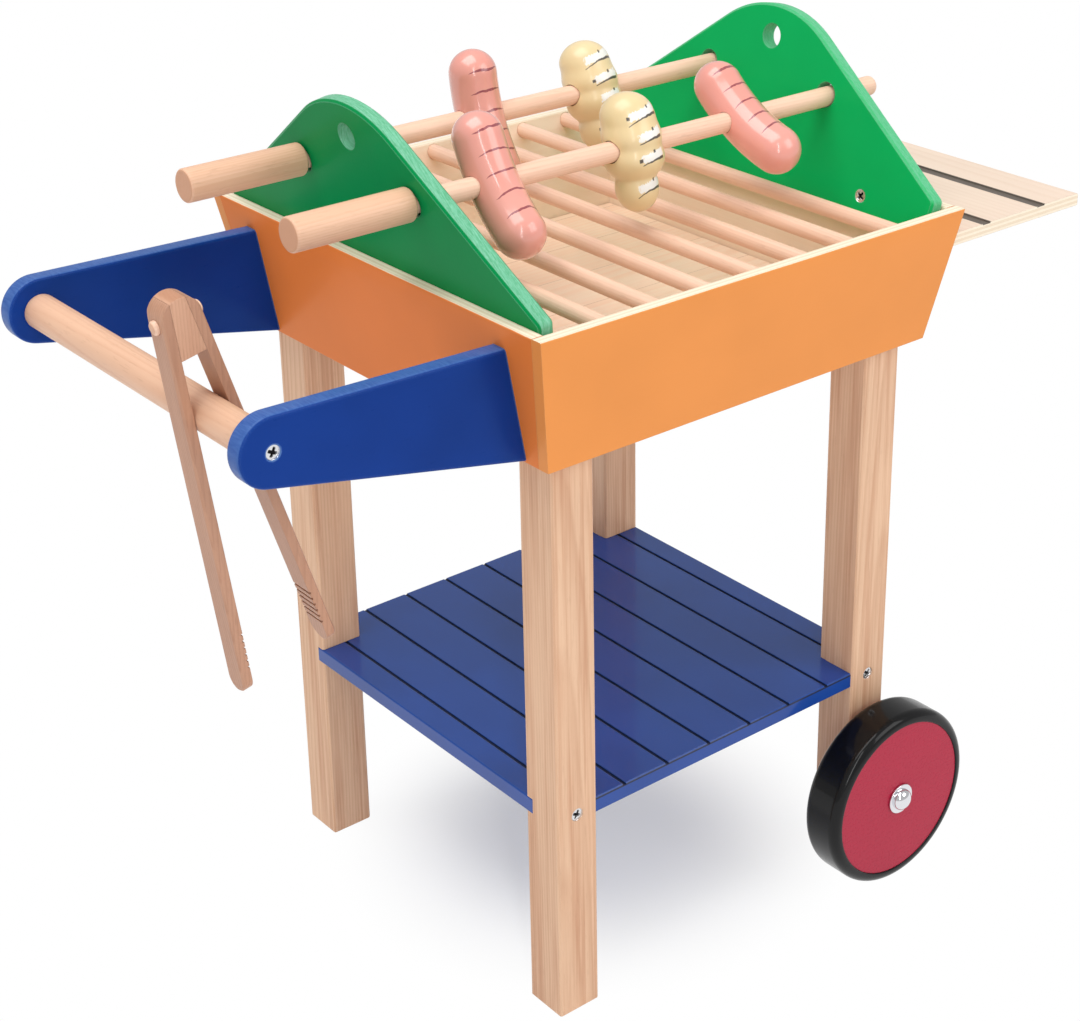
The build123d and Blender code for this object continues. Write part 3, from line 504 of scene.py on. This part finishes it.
def foodPlace(look):
    # millimetres along the food and degrees round it, both from its middle
    u, v, _ = look.axes(look.uv)
    return look.times(look.minus(u, 0.5), 100.0), look.times(look.minus(v, 0.5), 360.0)


def unsteady(look, along, turn, shares, seed, scale):
    # noise over the place on the food, as of a brush that wavers
    return look.noise(look.vector(look.times(along, shares[0]), look.times(turn, shares[1]),
                                  float(seed)), scale, 2.0)


def foodDone(look, values, marked, raised):
    # the marks stand out a little from the paint
    relief = look.line(raised, values["raised"], look.spots(260.0))
    return look.done(marked, values["roughness"], look.bump(relief, 0.08, 0.3), Coat_Weight=values["coat"],
                     Coat_Roughness=values["haze"])


def sausageFinish(name, seed):
    # five bowed brush strokes across the side, thinner towards their ends
    look = Look(name)
    values = sausageMarks
    along, turn = foodPlace(look)
    wobble = unsteady(look, along, turn, (0.06, 0.016), seed, 2.2)
    bend = look.times(look.times(turn, turn), values["bow"])
    start = values["middle"] - values["wander"] / 2
    drift = look.line(wobble, values["wander"], look.line(turn, values["slant"], start))
    stroke = look.minus(look.minus(along, drift), bend)
    phase = look.math("DIVIDE", stroke, values["pitch"])
    nearest = look.times(look.minus(phase, look.math("ROUND", phase)), values["pitch"])
    share = look.size(look.math("DIVIDE", turn, values["halfTurn"]))
    taper = look.rest(look.math("POWER", share, 3.0))
    half = look.times(look.larger(taper, 0.0), values["width"])
    ink = look.step(look.minus(half, look.size(nearest)), -0.10, 0.14)
    inside = look.math("LESS_THAN", look.size(stroke), values["reach"])
    front = look.math("GREATER_THAN", taper, 0.0)
    patchy = look.line(look.spots(700.0), 0.4, 0.68)
    ink = look.times(look.times(ink, inside), look.times(front, patchy))
    slow = look.spots(30.0)
    colour = look.mix(slow, linear(values["shade"]), linear(values["paint"]))
    colour = look.layers(colour, (slow, 0.35, linear(values["blush"])))
    colour = look.mix(ink, colour, linear(values["ink"]))
    return foodDone(look, values, colour, ink)


def snackFinish(name, seed, marks):
    # at each height a tilted white patch with a dark underline, a tick on top and a dot before it
    look = Look(name)
    values = snackMarks
    along, rawTurn = foodPlace(look)
    turn = look.minus(rawTurn, values["centre"])
    wobble = unsteady(look, along, turn, (0.05, 0.02), seed, 3.0)
    level = look.line(wobble, values["wander"], look.line(turn, values["slant"], along))
    level = look.minus(level, values["wander"] / 2)
    ragged = look.minus(unsteady(look, along, turn, (0.2, 0.09), seed, 3.0), 0.5)
    edgeTurn = look.line(ragged, values["raggedTurn"], turn)
    white, ink = 0.0, 0.0
    for number, place in enumerate(marks):
        half = values["halfTurn"] * (1 + 0.22 * sin(1.7 * number + 2 * seed))
        rise = look.minus(level, place)
        rough = look.line(ragged, values["ragged"], rise)
        patch = look.times(look.within(rough, values["low"] + 0.3, values["high"], 0.35),
                           look.within(edgeTurn, -half, half, 2.0))
        bow = look.line(look.times(turn, turn), values["bow"], rise)
        taper = look.times(look.step(turn, -half - 8, half - 6), 0.55)
        thick = look.size(look.minus(bow, values["low"]))
        under = look.times(look.step(look.minus(look.plus(taper, 0.28), thick), -0.12, 0.16),
                           look.within(turn, -half - 4 + 5 * sin(number), half - 2, 1.5))
        tickPlace = 6.0 + 5.0 * sin(2.1 * number + seed)
        tick = look.times(look.within(turn, tickPlace - 2.6, tickPlace + 2.6, 0.6),
                          look.within(rise, values["high"] - 0.9, values["high"] + 0.9, 0.3))
        dark = look.larger(under, tick)
        if (number + seed) % 2:
            dot = look.times(look.within(turn, -half - 6.0, -half + 1.0, 0.8),
                             look.within(rise, -1.6, 0.4, 0.3))
            dark = look.larger(dark, dot)
        white, ink = look.larger(white, patch), look.larger(ink, dark)
    slow = look.spots(30.0)
    colour = look.mix(slow, linear(values["shade"]), linear(values["paint"]))
    colour = look.mix(white, colour, linear(values["white"]))
    colour = look.layers(colour, (ink, 0.92, linear(values["ink"])))
    return foodDone(look, values, colour, white)


# surfaces

def roundedProfile(corners, steps=6, support=0.25):
    # Corners (along, radius, round) joined by straight runs and round arcs. Each arc has a
    # support point just before and after it.
    places = [np.array(corner[:2], float) for corner in corners]
    points = [places[0]]
    for before, here, after, corner in zip(places, places[1:], places[2:], corners[1:]):
        radius = corner[2]
        if radius <= 0:
            points.append(here)
            continue
        back, front = ((each - here) / np.linalg.norm(each - here) for each in (before, after))
        half = acos(np.clip(back @ front, -1, 1)) / 2
        reach = radius / tan(half)
        bisector = (back + front) / np.linalg.norm(back + front)
        centre = here + bisector * radius / sin(half)
        first, last = (here + way * reach - centre for way in (back, front))
        turn = acos(np.clip(first @ last / radius ** 2, -1, 1))
        points.append(here + back * (reach + support))
        for share in np.linspace(0, 1, steps + 1):
            arc = (sin((1 - share) * turn) * first + sin(share * turn) * last) / sin(turn)
            points.append(centre + arc)
        points.append(here + front * (reach + support))
    return np.array([*points, places[-1]])


def ringFaces(count, around, closed=False):
    # Quads between neighbouring rings of points, numbered ring by ring. A closed surface joins
    # the last ring to the first; an open one has a fan of triangles to a pole at each end.
    ring = np.arange(around)
    following = (ring + 1) % around
    here = np.arange(count if closed else count - 1)[:, None] * around
    after = (here + around) % (count * around)
    quads = np.stack([here + ring, here + following, after + following, after + ring], -1).reshape(-1, 4)
    last = (count - 1) * around
    startFan = np.stack([np.full(around, count * around), following, ring], -1)
    endFan = np.stack([np.full(around, count * around + 1), last + ring, last + following], -1)
    return (quads,) if closed else (quads, startFan, endFan)


def enclosed(points, faceSets):
    # six times the volume inside the faces, below zero where they look inwards
    total = 0.0
    for faces in faceSets:
        for k in range(1, faces.shape[1] - 1):
            a, b, c = points[faces[:, 0]], points[faces[:, k]], points[faces[:, k + 1]]
            total += np.einsum("ij,ij->i", a, np.cross(b, c)).sum()
    return total


def surfacePiece(name, points, faceSets, uv, material, body, nodes, sharp=None):
    # a smooth mesh whose faces look outwards; uv has a pair for each corner of each face
    mesh = bpy.data.meshes.new(name)
    mesh.from_pydata(points.tolist(), [], [face for faces in faceSets for face in faces.tolist()])
    if uv is not None:
        layer = mesh.uv_layers.new(name="UVMap")
        layer.data.foreach_set("uv", uv.ravel().astype(np.float32))
    if enclosed(points, faceSets) < 0:
        mesh.flip_normals()
    mesh.polygons.foreach_set("use_smooth", np.ones(len(mesh.polygons), bool))
    mesh.materials.append(material)
    mesh.update()
    if sharp:
        mesh.set_sharp_from_angle(angle=radians(sharp))
    piece = added(name, mesh)
    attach(piece, body)
    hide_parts(*nodes)
    return piece


def closedSurface(name, rows, poles, alongValues, material, body, nodes):
    # Rings of points, rows[ring, place round it], closed by one pole at each end. u is the
    # ring's own value, v the turn.
    count, around = rows.shape[:2]
    points = np.concatenate([rows.reshape(-1, 3), np.array(poles).reshape(2, 3)])
    faceSets = ringFaces(count, around)
    quads, ring = faceSets[0], np.arange(around)[:, None]
    u = [alongValues[quads // around], np.repeat(alongValues[[0, -1]], around * 3)]
    v = [quads[:, :1] % around + [0, 1, 1, 0], ring + [0.5, 1, 0], ring + [0.5, 0, 1]]
    uv = np.stack([np.concatenate([*map(np.ravel, u)]), np.concatenate([*map(np.ravel, v)]) / around], -1)
    return surfacePiece(name, points, faceSets, uv, material, body, nodes)


def crossways(axis, guide):
    # two directions at right angles to an axis and to each other
    side = np.cross(axis, guide)
    side /= np.linalg.norm(side)
    return side, np.cross(axis, side)


def turns(count):
    return np.arange(count) * 2 * pi / count


def circles(angles, side, other):
    return np.cos(angles)[:, None] * side + np.sin(angles)[:, None] * other


def swept(origin, along, radius, axis, circle):
    # rings of points, each some mm along the axis and with a radius in mm
    return np.array(origin) + mm * (along[..., None] * axis + radius[..., None] * circle[None])


def turned(name, corners, origin, axis, material, body, nodes, slot, around):
    # Surface of revolution: the profile's points swung round a line. Millimetres along the
    # axis from the origin; the first and last corners lie on the axis.
    profile = roundedProfile(corners)
    circle = circles(turns(around), *crossways(np.array(axis, float), (0.3, 0.5, 0.9)))
    inner = profile[1:-1]
    rows = swept(origin, inner[:, :1], inner[:, 1:], axis, circle)
    poles = np.array(origin) + mm * np.outer(profile[[0, -1], 0], axis)
    return closedSurface(name, rows, poles, inner[:, 0] / 100 + 0.5, material, body, nodes)


def bored(piece, origin, radius, length=50, around=64):
    # cuts a round hole along X through a piece and keeps the result as its mesh
    circle = circles(turns(around), *np.eye(3)[1:]) * radius * mm
    points = np.concatenate([origin + circle + [end * length * mm / 2, 0, 0] for end in (-1, 1)])
    faces = [list(range(around))[::-1], list(range(around, 2 * around))]
    faces += ringFaces(2, around)[0].tolist()
    mesh = bpy.data.meshes.new("bore")
    mesh.from_pydata(points.tolist(), [], faces)
    tool = added("bore", mesh)
    cut = piece.modifiers.new("bore", "BOOLEAN")
    cut.operation = "DIFFERENCE"
    cut.solver = "EXACT"
    cut.object = tool
    graph = bpy.context.evaluated_depsgraph_get()
    result = bpy.data.meshes.new_from_object(piece.evaluated_get(graph))
    piece.modifiers.clear()
    piece.data = result
    result.set_sharp_from_angle(angle=radians(40))
    bpy.data.objects.remove(tool)


# rods, grips and handle bar: node, body, wood, the axis along it, round of its ends in mm

rodPieces = [(f"grate_rod_{number}", "grill", "beech", 1, 0.6) for number in range(1, 8)]
rodPieces.append(("handle_bar", "grill", "pinkShadedBeech", 1, 0.3))
for side in ("front", "back"):
    rodPieces.append((f"spit_rod_{side}", f"spit_{side}", "beech", 0, 2.6))
    rodPieces.append((f"spit_grip_{side}", f"spit_{side}", "pinkShadedBeech", 0, 1.5))
for seed, (node, body, kind, way, edge) in enumerate(rodPieces):
    centre, size = middle(node), np.ptp(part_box(node), axis=0)
    half = size[way] / mm / 2
    radius = size[(way + 1) % 3] / mm / 2
    material = woodFinish(node + "Wood", kind, "XYZ"[way], centre, 200 + seed * 7)
    corners = [(-half, 0, 0), (-half, radius, edge), (half, radius, edge), (half, 0, 0)]
    turned(node + "Turned", corners, centre, np.eye(3)[way], material, body, [node], "beech", 64)
print("rods done")


# food: sizes in mm, tilts in degrees

sausage = {"radius": 15.0, "half": 30.0, "bow": 4.0, "drop": 3.4, "bore": 6.55, "rings": 49, "tipRings": 17,
           "tilts": {"sausage_1": 38.0, "sausage_2": 22.0, "sausage_3": 61.0}}
snack = {"radii": (16.4, 18.0, 18.3, 13.2), "rises": (17.3, 6.5, -6.5, -24.4), "reach": 15.0, "rings": 141,
         "bows": (3.3, 0.4, 0.2, 0.0), "crease": 12.0, "bore": 6.9, "marks": (21.5, 8.5, -4.0, -22.0),
         "tilts": {"snack_front": 8.0, "snack_back": 16.0}}
spitOf = {"sausage_1": "spit_rod_front", "sausage_3": "spit_rod_front", "snack_front": "spit_rod_front",
          "sausage_2": "spit_rod_back", "snack_back": "spit_rod_back"}


def foodFrame(node, tilt):
    # origin on the spit, across the food and up it
    spit = middle(spitOf[node])
    turn = radians(tilt)
    return (np.array([middle(node)[0], spit[1], spit[2]]), np.array([0, cos(turn), -sin(turn)]),
            np.array([0, sin(turn), cos(turn)]))


def spineRows(origin, across, up, x, y, lean, size, around=96):
    # circles round a spine, which lies x across and y up the food; each leans with the spine
    angles = (np.arange(around) / around - 0.5) * 2 * pi
    out = -np.cos(angles)[None, :] * size[:, None]
    along = np.sin(angles)[None, :] * size[:, None]
    localX = x[:, None] + out * np.cos(lean)[:, None]
    localY = y[:, None] + out * np.sin(lean)[:, None]
    return origin + mm * (localX[..., None] * across + localY[..., None] * up
                          + along[..., None] * np.array([1.0, 0, 0]))


for seed, (node, tilt) in enumerate(sausage["tilts"].items()):
    # a circle carried along a shallow arc, its radius falling to zero on a sphere at each end
    spit, across, up = foodFrame(node, tilt)
    half, bow, radius = sausage["half"], sausage["bow"], sausage["radius"]
    origin = spit - sausage["drop"] * mm * up
    bend = (half ** 2 + bow ** 2) / (2 * bow)
    limit = np.arcsin(half / bend) * bend
    end = limit + radius * np.sin(np.linspace(0, pi / 2, sausage["tipRings"])[1:-1])
    s = np.concatenate([-end[::-1], np.linspace(-limit, limit, sausage["rings"]), end])
    over = np.clip(np.abs(s) - limit, 0, None)
    size = np.sqrt(np.clip(radius ** 2 - over ** 2, 0, None))
    lean = np.clip(s, -limit, limit) / bend
    x = bend * np.cos(lean) - bend - np.sign(s) * over * np.sin(lean)
    y = bend * np.sin(lean) + np.sign(s) * over * np.cos(lean)
    tipX = bend * np.cos(limit / bend) - bend - radius * np.sin(limit / bend)
    tipY = bend * np.sin(limit / bend) + radius * np.cos(limit / bend)
    poles = [origin + mm * (tipX * across + side * tipY * up) for side in (-1, 1)]
    rows = spineRows(origin, across, up, x, y, lean, size)
    material = sausageFinish(node + "Paint", seed * 5 + 2)
    piece = closedSurface(node + "Skin", rows, poles, s / 100 + 0.5, material, node, [node])
    bored(piece, spit, sausage["bore"])

for seed, (node, tilt) in enumerate(snack["tilts"].items()):
    # radius along the spine is the smooth largest of four balls, each stretched to its reach:
    # radius times the root of 1 less the square of height over reach
    origin, across, up = foodFrame(node, tilt)
    radii, rises, bows = (np.array(snack[key])[:, None] for key in ("radii", "rises", "bows"))
    top, low = rises.max() + snack["reach"], rises.min() - snack["reach"]
    s = (top + low) / 2 - (top - low) / 2 * np.cos(np.linspace(0, pi, snack["rings"])[1:-1])
    balls = radii * np.sqrt(np.clip(1 - ((s[None] - rises) / snack["reach"]) ** 2, 0, None))
    size = (balls ** snack["crease"]).sum(axis=0) ** (1 / snack["crease"])
    weight = balls ** 4 + 1e-9
    x = (weight * bows).sum(axis=0) / weight.sum(axis=0)
    poles = [origin + mm * (x[0] * across + low * up), origin + mm * (x[-1] * across + top * up)]
    rows = spineRows(origin, across, up, x, s, np.zeros(len(s)), size)
    material = snackFinish(node + "Paint", seed * 3 + 1, snack["marks"])
    piece = closedSurface(node + "Skin", rows, poles, s / 100 + 0.5, material, node, [node])
    bored(piece, origin, snack["bore"])
print("food done")


# wheels, in mm

cap = {"flange": 1.4, "radius": 10.5, "dome": 7.5, "rise": 5.6, "bore": 4.06, "depth": 1.5}
wheel = {"radius": 62.0, "disc": 54.5, "width": 29.0, "shoulder": 6.0, "innerRound": 0.4,
         "outerRound": 0.8, "around": 160}
tyreBlack = tyreFinish()
crimson = paintFinish("discCrimson", "crimson")
chrome = metalFinish("chrome", (232, 232, 236), roughness=0.08, brushed=False)
zinc = metalFinish("zinc", (222, 222, 222), roughness=0.26)
screwZinc = metalFinish("screwZinc", (232, 232, 234), roughness=0.22, shadedRecess=True)
for side, sign in (("front", -1), ("back", 1)):
    node = f"tyre_{side}"
    axis = np.array([0, sign, 0])
    # a ring: its section is a closed loop swung round the axle
    half = wheel["width"] / 2
    inner, outer, shoulder = wheel["disc"], wheel["radius"], wheel["shoulder"]
    corners = [(0, inner, 0), (-half, inner, wheel["innerRound"]), (-half, outer, shoulder),
               (half, outer, shoulder), (half, inner, wheel["outerRound"]), (0, inner, 0)]
    section = roundedProfile(corners, 9)[:-1]
    circle = circles(turns(wheel["around"]), *np.eye(3)[[0, 2]])
    rows = swept(middle(node), section[:, :1], section[:, 1:], axis, circle)
    surfacePiece(node + "Ring", rows.reshape(-1, 3), ringFaces(len(section), wheel["around"], True), None,
                 tyreBlack, f"wheel_{side}", [node])
    # a cap: a flat flange and a flattened half ball, pushed over the pin's end
    node = f"axle_cap_{side}"
    low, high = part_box(node)
    origin = middle(node)
    origin[1] = high[1] if sign < 0 else low[1]
    swing = np.linspace(0, pi / 2, 25)[:-1]
    dome = [(cap["flange"] + cap["rise"] * sin(t), cap["dome"] * cos(t), 0) for t in swing]
    corners = [(cap["depth"], 0, 0), (cap["depth"], cap["bore"], 0), (0, cap["bore"], 0),
               (0, cap["radius"], 0.3), (cap["flange"], cap["radius"], 0.5), *dome,
               (cap["flange"] + cap["rise"], 0, 0)]
    piece = turned(node + "Turned", corners, origin, axis, chrome, "grill", [node], "chrome", 72)
    piece.data.set_sharp_from_angle(angle=radians(35))
print("wheels done")


# screws with a cross recess, in mm; the recess's shares are of the head's radius

screw = {"head": 4.2, "depth": 2.4, "shank": 2.0, "crown": 0.22, "recess": 1.3, "around": 72,
         "arm": 0.17, "reach": 0.62, "soft": 0.08}
slimScrew = {**screw, "head": 3.0, "shank": 1.6}
screwLengths = {"shelf_screws": 50.0, "tray_floor_screws": 30.0, "handle_screws": 45.0,
                "panel_screws": 16.0, "arm_screws": 36.0, "side_shelf_screws": 34.0}


def crossRecess(radius, angle, values):
    # depth of a cross-shaped recess at a point of the head, 0 to 1
    x, y = np.abs(radius * np.cos(angle)), np.abs(radius * np.sin(angle))
    arm, reach, soft = (values[key] * values["head"] for key in ("arm", "reach", "soft"))
    bars = [np.clip((arm - thin) / soft + 0.5, 0, 1) * np.clip((reach - long) / soft / 2 + 0.5, 0, 1)
            for thin, long in ((x, y), (y, x))]
    return np.maximum(*bars)


def screwPiece(name, node, heads, values=screw):
    # Each screw is one surface of revolution from the head's middle out over the rim, down
    # the cone and the shank; the head's rings are pressed in by the cross recess.
    around, head, length = values["around"], values["head"], screwLengths[node]
    angles = turns(around)
    rings = [(0.0, r) for r in np.linspace(0.10, head - 0.25, 26)]
    rings += [(-0.06, head - 0.08), (-0.22, head), (-0.4, head - 0.1), (-values["depth"], values["shank"]),
              (-length + 2.5, values["shank"]), (-length + 0.1, 0.2)]
    depth, size = np.array(rings).T[:, :, None]
    onTop = depth > -0.01
    recess = crossRecess(size, angles[None, :], values) * onTop
    dome = values["crown"] * (1 - (size / head) ** 2)
    height = np.where(onTop, depth - values["crown"] + dome - values["recess"] * recess, depth)
    points, faceSets = [], []
    for seed, (origin, out) in enumerate(heads):
        out = np.array(out, float)
        circle = circles(angles + seed * 0.7, *crossways(out, (0.2, 0.9, 0.4)))
        rows = swept(origin, height, size, out, circle)
        faceSets += [each + sum(map(len, points)) for each in ringFaces(len(size), around)]
        poles = np.array(origin) - mm * np.outer([values["recess"], length], out)
        points.append(np.concatenate([rows.reshape(-1, 3), poles]))
    # u at each corner is the recess depth, which the screw finish paints dark as painted shade
    marks = np.tile(np.concatenate([recess.ravel(), [1.0, 0.0]]), len(heads))
    marks = marks[np.concatenate([each.ravel() for each in faceSets])]
    surfacePiece(name, np.concatenate(points), faceSets, np.stack([marks, marks], -1), screwZinc, "grill",
                 [node], 35)


legs = {name: middle(name) for name in (f"leg_{end}_{side}" for end in ("handle", "wheel")
                                        for side in ("front", "back"))}
low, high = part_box("shelf_screws")
heads = [((leg[0], end[1], (low[2] + high[2]) / 2), (0, way, 0)) for leg in legs.values()
         for end, way in ((low, -1), (high, 1)) if way * leg[1] > 0]
screwPiece("shelfScrewHeads", "shelf_screws", heads)
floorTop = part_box("tray_floor_screws")[1][2]
heads = [((leg[0], leg[1], floorTop), (0, 0, 1)) for leg in legs.values()]
screwPiece("floorScrewHeads", "tray_floor_screws", heads)
barMiddle = middle("handle_bar")
low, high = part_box("handle_screws")
heads = [((barMiddle[0], end[1], barMiddle[2]), (0, way, 0)) for end, way in ((low, -1), (high, 1))]
screwPiece("handleScrewHeads", "handle_screws", heads)

lean = atan2(board["slope"], 1)
panelScrew = {"thickness": 10.0, "drop": 7.0}
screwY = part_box("panel_screws")[1][1] - screw["head"] * mm
heads = []
for end in (-1, 1):
    # the head's middle lies on the panel's inner face, a little below the tray's rim
    slopeUp = np.array([end * sin(lean), 0, cos(lean)])
    inward = np.array([-end * cos(lean), 0, sin(lean)])
    for side in (-1, 1):
        rim = np.array([trayX + end * (board["halfLength"] - board["thickness"]) * mm, side * screwY,
                        board["rimHeight"] * mm])
        heads.append((rim + mm * (panelScrew["thickness"] * inward - panelScrew["drop"] * slopeUp), inward))
screwPiece("panelScrewHeads", "panel_screws", heads)

armScrew = {"heights": (399.43, 430.975)}
inward = np.array([cos(lean), 0, sin(lean)])
heads = []
for arm in ("handle_arm_front", "handle_arm_back"):
    for height in armScrew["heights"]:
        x = board["halfLength"] + (height - board["rimHeight"]) * board["slope"] - board["thickness"]
        heads.append((np.array([trayX - x * mm, middle(arm)[1], height * mm]), inward))
screwPiece("armScrewHeads", "arm_screws", heads)

low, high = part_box("side_shelf_screws")
edgeY = high[1] - slimScrew["head"] * mm
heads = [((low[0], y, (low[2] + high[2]) / 2), (-1, 0, 0)) for y in (-edgeY, 0, edgeY)]
screwPiece("sideShelfScrewHeads", "side_shelf_screws", heads, slimScrew)
print("screws done")


# finishes on the frame's own pieces

smoothing = {"merge": 0.000004, "angle": 24}


def smoothEdges():
    # a modifier that joins the loose triangles and shades round faces smoothly
    group = bpy.data.node_groups.new("smoothRound", "GeometryNodeTree")
    for way in ("INPUT", "OUTPUT"):
        group.interface.new_socket("Geometry", in_out=way, socket_type="NodeSocketGeometry")
    start, end, merge, smooth, sharp, angle, wide = (group.nodes.new(kind) for kind in (
        "NodeGroupInput", "NodeGroupOutput", "GeometryNodeMergeByDistance", "GeometryNodeSetShadeSmooth",
        "GeometryNodeSetShadeSmooth", "GeometryNodeInputMeshEdgeAngle", "FunctionNodeCompare"))
    merge.inputs["Distance"].default_value = smoothing["merge"]
    smooth.domain = "FACE"
    sharp.domain = "EDGE"
    sharp.inputs["Shade Smooth"].default_value = False
    wide.data_type = "FLOAT"
    wide.operation = "GREATER_THAN"
    wide.inputs[1].default_value = radians(smoothing["angle"])
    for before, after in zip((start, merge, smooth, sharp), (merge, smooth, sharp, end)):
        group.links.new(before.outputs[0], after.inputs[0])
    group.links.new(angle.outputs["Unsigned Angle"], wide.inputs[0])
    group.links.new(wide.outputs[0], sharp.inputs["Selection"])
    return group


roundShading = smoothEdges()
finishOf = {"tray_floor": trayFloorFinish(), "lower_shelf": shelfFinish(), "side_shelf": sideShelfFinish()}
for seed, name in enumerate(legs):
    finishOf[name] = woodFinish(name + "Pine", "pine", "Z", legs[name], 20 + seed * 11)
longBoards = trayFinish("longBoards", True, 31)
endBoards = trayFinish("endBoards", False, 32)
bluePaint = paintFinish("bluePaint", "blue", "Y")
for side in ("front", "back"):
    finishOf.update({f"tray_board_{side}": longBoards, f"handle_arm_{side}": bluePaint,
                     f"wheel_disc_{side}": crimson, f"axle_pin_{side}": zinc})
# the handle-end panel takes the darker green copy, a painted shade
for end, kind in (("handle", "shadedGreen"), ("shelf", "green")):
    finishOf[f"tray_board_{end}_end"] = endBoards
    finishOf[f"spit_panel_{end}_end"] = paintFinish(kind + "Paint", kind, "X")
tongsWoods = {"tongs_arm_outer": ("darkBeech", "Z"), "tongs_arm_inner": ("darkBeech", "Z"),
              "tongs_block": ("headBeech", "Z"), "tongs_pin": ("beech", "X")}
for seed, (name, (kind, along)) in enumerate(tongsWoods.items()):
    finishOf[name] = woodFinish(name + "Beech", kind, along, middle(name), 300 + seed * 9)
for name, material in finishOf.items():
    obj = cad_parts[name]
    obj.data.materials.clear()
    obj.data.materials.append(material)
    obj.modifiers.new("smoothRound", "NODES").node_group = roundShading
print("finishes done")


# floor, light and camera: the camera's place in mm from the tray's middle, its frame in pixels

view = {"azimuth": -39.315, "elevation": 22.381, "roll": -0.599, "place": (-796.715, -978.547, 887.388),
        "focus": 2155.466, "centre": (589.699, 342.32), "frame": (1080, 1021), "sensor": 36}
worldLight = 0.57
areaLights = {
    "key": {"power": 18.5, "place": (1.1, -2.1, 1.9), "target": (0, 0, 0.35), "size": (1.6, 1.6)},
    "strip": {"power": 14.0, "place": (-1.3, -2.1, 1.7), "target": (0, 0, 0.4), "size": (0.20, 2.4)},
    "top": {"power": 34.0, "place": (-0.6, 0.1, 2.6), "target": (0, 0, 0.35), "size": (1.8, 1.8)},
}
room = {"near": 0.05, "far": 0.185, "veil": 0.33, "reach": 6.0, "colour": (0.96, 0.96, 0.97, 1)}
white = (1, 1, 1, 1)


def roomFinish():
    # white to the camera away from the object; lit and shadowed near it
    look = Look("floorWhite")
    x, y, _ = look.axes(look.place)
    x = look.minus(x, trayX)
    distance = look.math("SQRT", look.plus(look.times(x, x), look.times(y, y)))
    far = look.line(look.step(distance, room["near"], room["far"]), 1 - room["veil"], room["veil"])
    glow = look.node("Emission", {"Color": white, "Strength": 1.0})
    paths = look.node("LightPath").outputs
    seen = look.larger(paths["Is Camera Ray"], paths["Is Glossy Ray"])
    seen = look.larger(seen, paths["Is Transmission Ray"])
    blend = look.node("MixShader", {0: look.times(far, seen), 1: look.shader.outputs[0], 2: glow.outputs[0]})
    look.put(look.output.inputs[0], blend.outputs[0])
    return look.done(room["colour"], 0.9)


floorMesh = bpy.data.meshes.new("floor")
reach = room["reach"]
corners = [(x * reach, y * reach, 0) for x, y in ((-1, -1), (1, -1), (1, 1), (-1, 1))]
floorMesh.from_pydata(corners, [], [(0, 1, 2, 3)])
floorMesh.materials.append(roomFinish())
floor = added("floor", floorMesh)

world = bpy.data.worlds.new("studio")
scene.world = world
world.use_nodes = True
sky = Nodes(world.node_tree)
soft = sky.node("Background", {"Strength": worldLight, "Color": white})
bright = sky.node("Background", {"Strength": 1.0, "Color": white})
paths = sky.node("LightPath").outputs
seen = sky.larger(paths["Is Camera Ray"], paths["Is Transmission Ray"])
blend = sky.node("MixShader", {0: seen, 1: soft.outputs[0], 2: bright.outputs[0]})
sky.node("OutputWorld", {0: blend.outputs[0]})

for name, values in areaLights.items():
    lamp = bpy.data.lights.new(name, "AREA")
    lamp.shape = "RECTANGLE"
    lamp.size, lamp.size_y = values["size"]
    lamp.energy = values["power"]
    obj = added(name, lamp)
    aim = Vector(values["target"]) - Vector(values["place"])
    obj.matrix_world = Matrix.Translation(values["place"]) @ aim.to_track_quat("-Z", "Y").to_matrix().to_4x4()

azimuth, elevation, roll = (radians(view[key]) for key in ("azimuth", "elevation", "roll"))
forward = Vector((-sin(azimuth) * cos(elevation), cos(azimuth) * cos(elevation), -sin(elevation)))
right = forward.cross(Vector((0, 0, 1))).normalized()
upward = right.cross(forward)
rightRolled = right * cos(roll) + upward * sin(roll)
upRolled = upward * cos(roll) - right * sin(roll)
place = Vector(view["place"]) * mm + Vector((trayX, 0, 0))
lens = bpy.data.cameras.new("camera")
camera = added("camera", lens)
camera.matrix_world = Matrix((*zip(rightRolled, upRolled, -forward, place), (0, 0, 0, 1)))
wide, tall = view["frame"]
lens.sensor_fit = "HORIZONTAL"
lens.sensor_width = view["sensor"]
lens.lens = view["focus"] / wide * view["sensor"]
lens.shift_x = (wide / 2 - view["centre"][0]) / wide
lens.shift_y = (view["centre"][1] - tall / 2) / wide
lens.clip_end = 50
bpy.context.scene.camera = camera
bpy.context.scene.view_settings.view_transform = "Standard"
print("stage done")
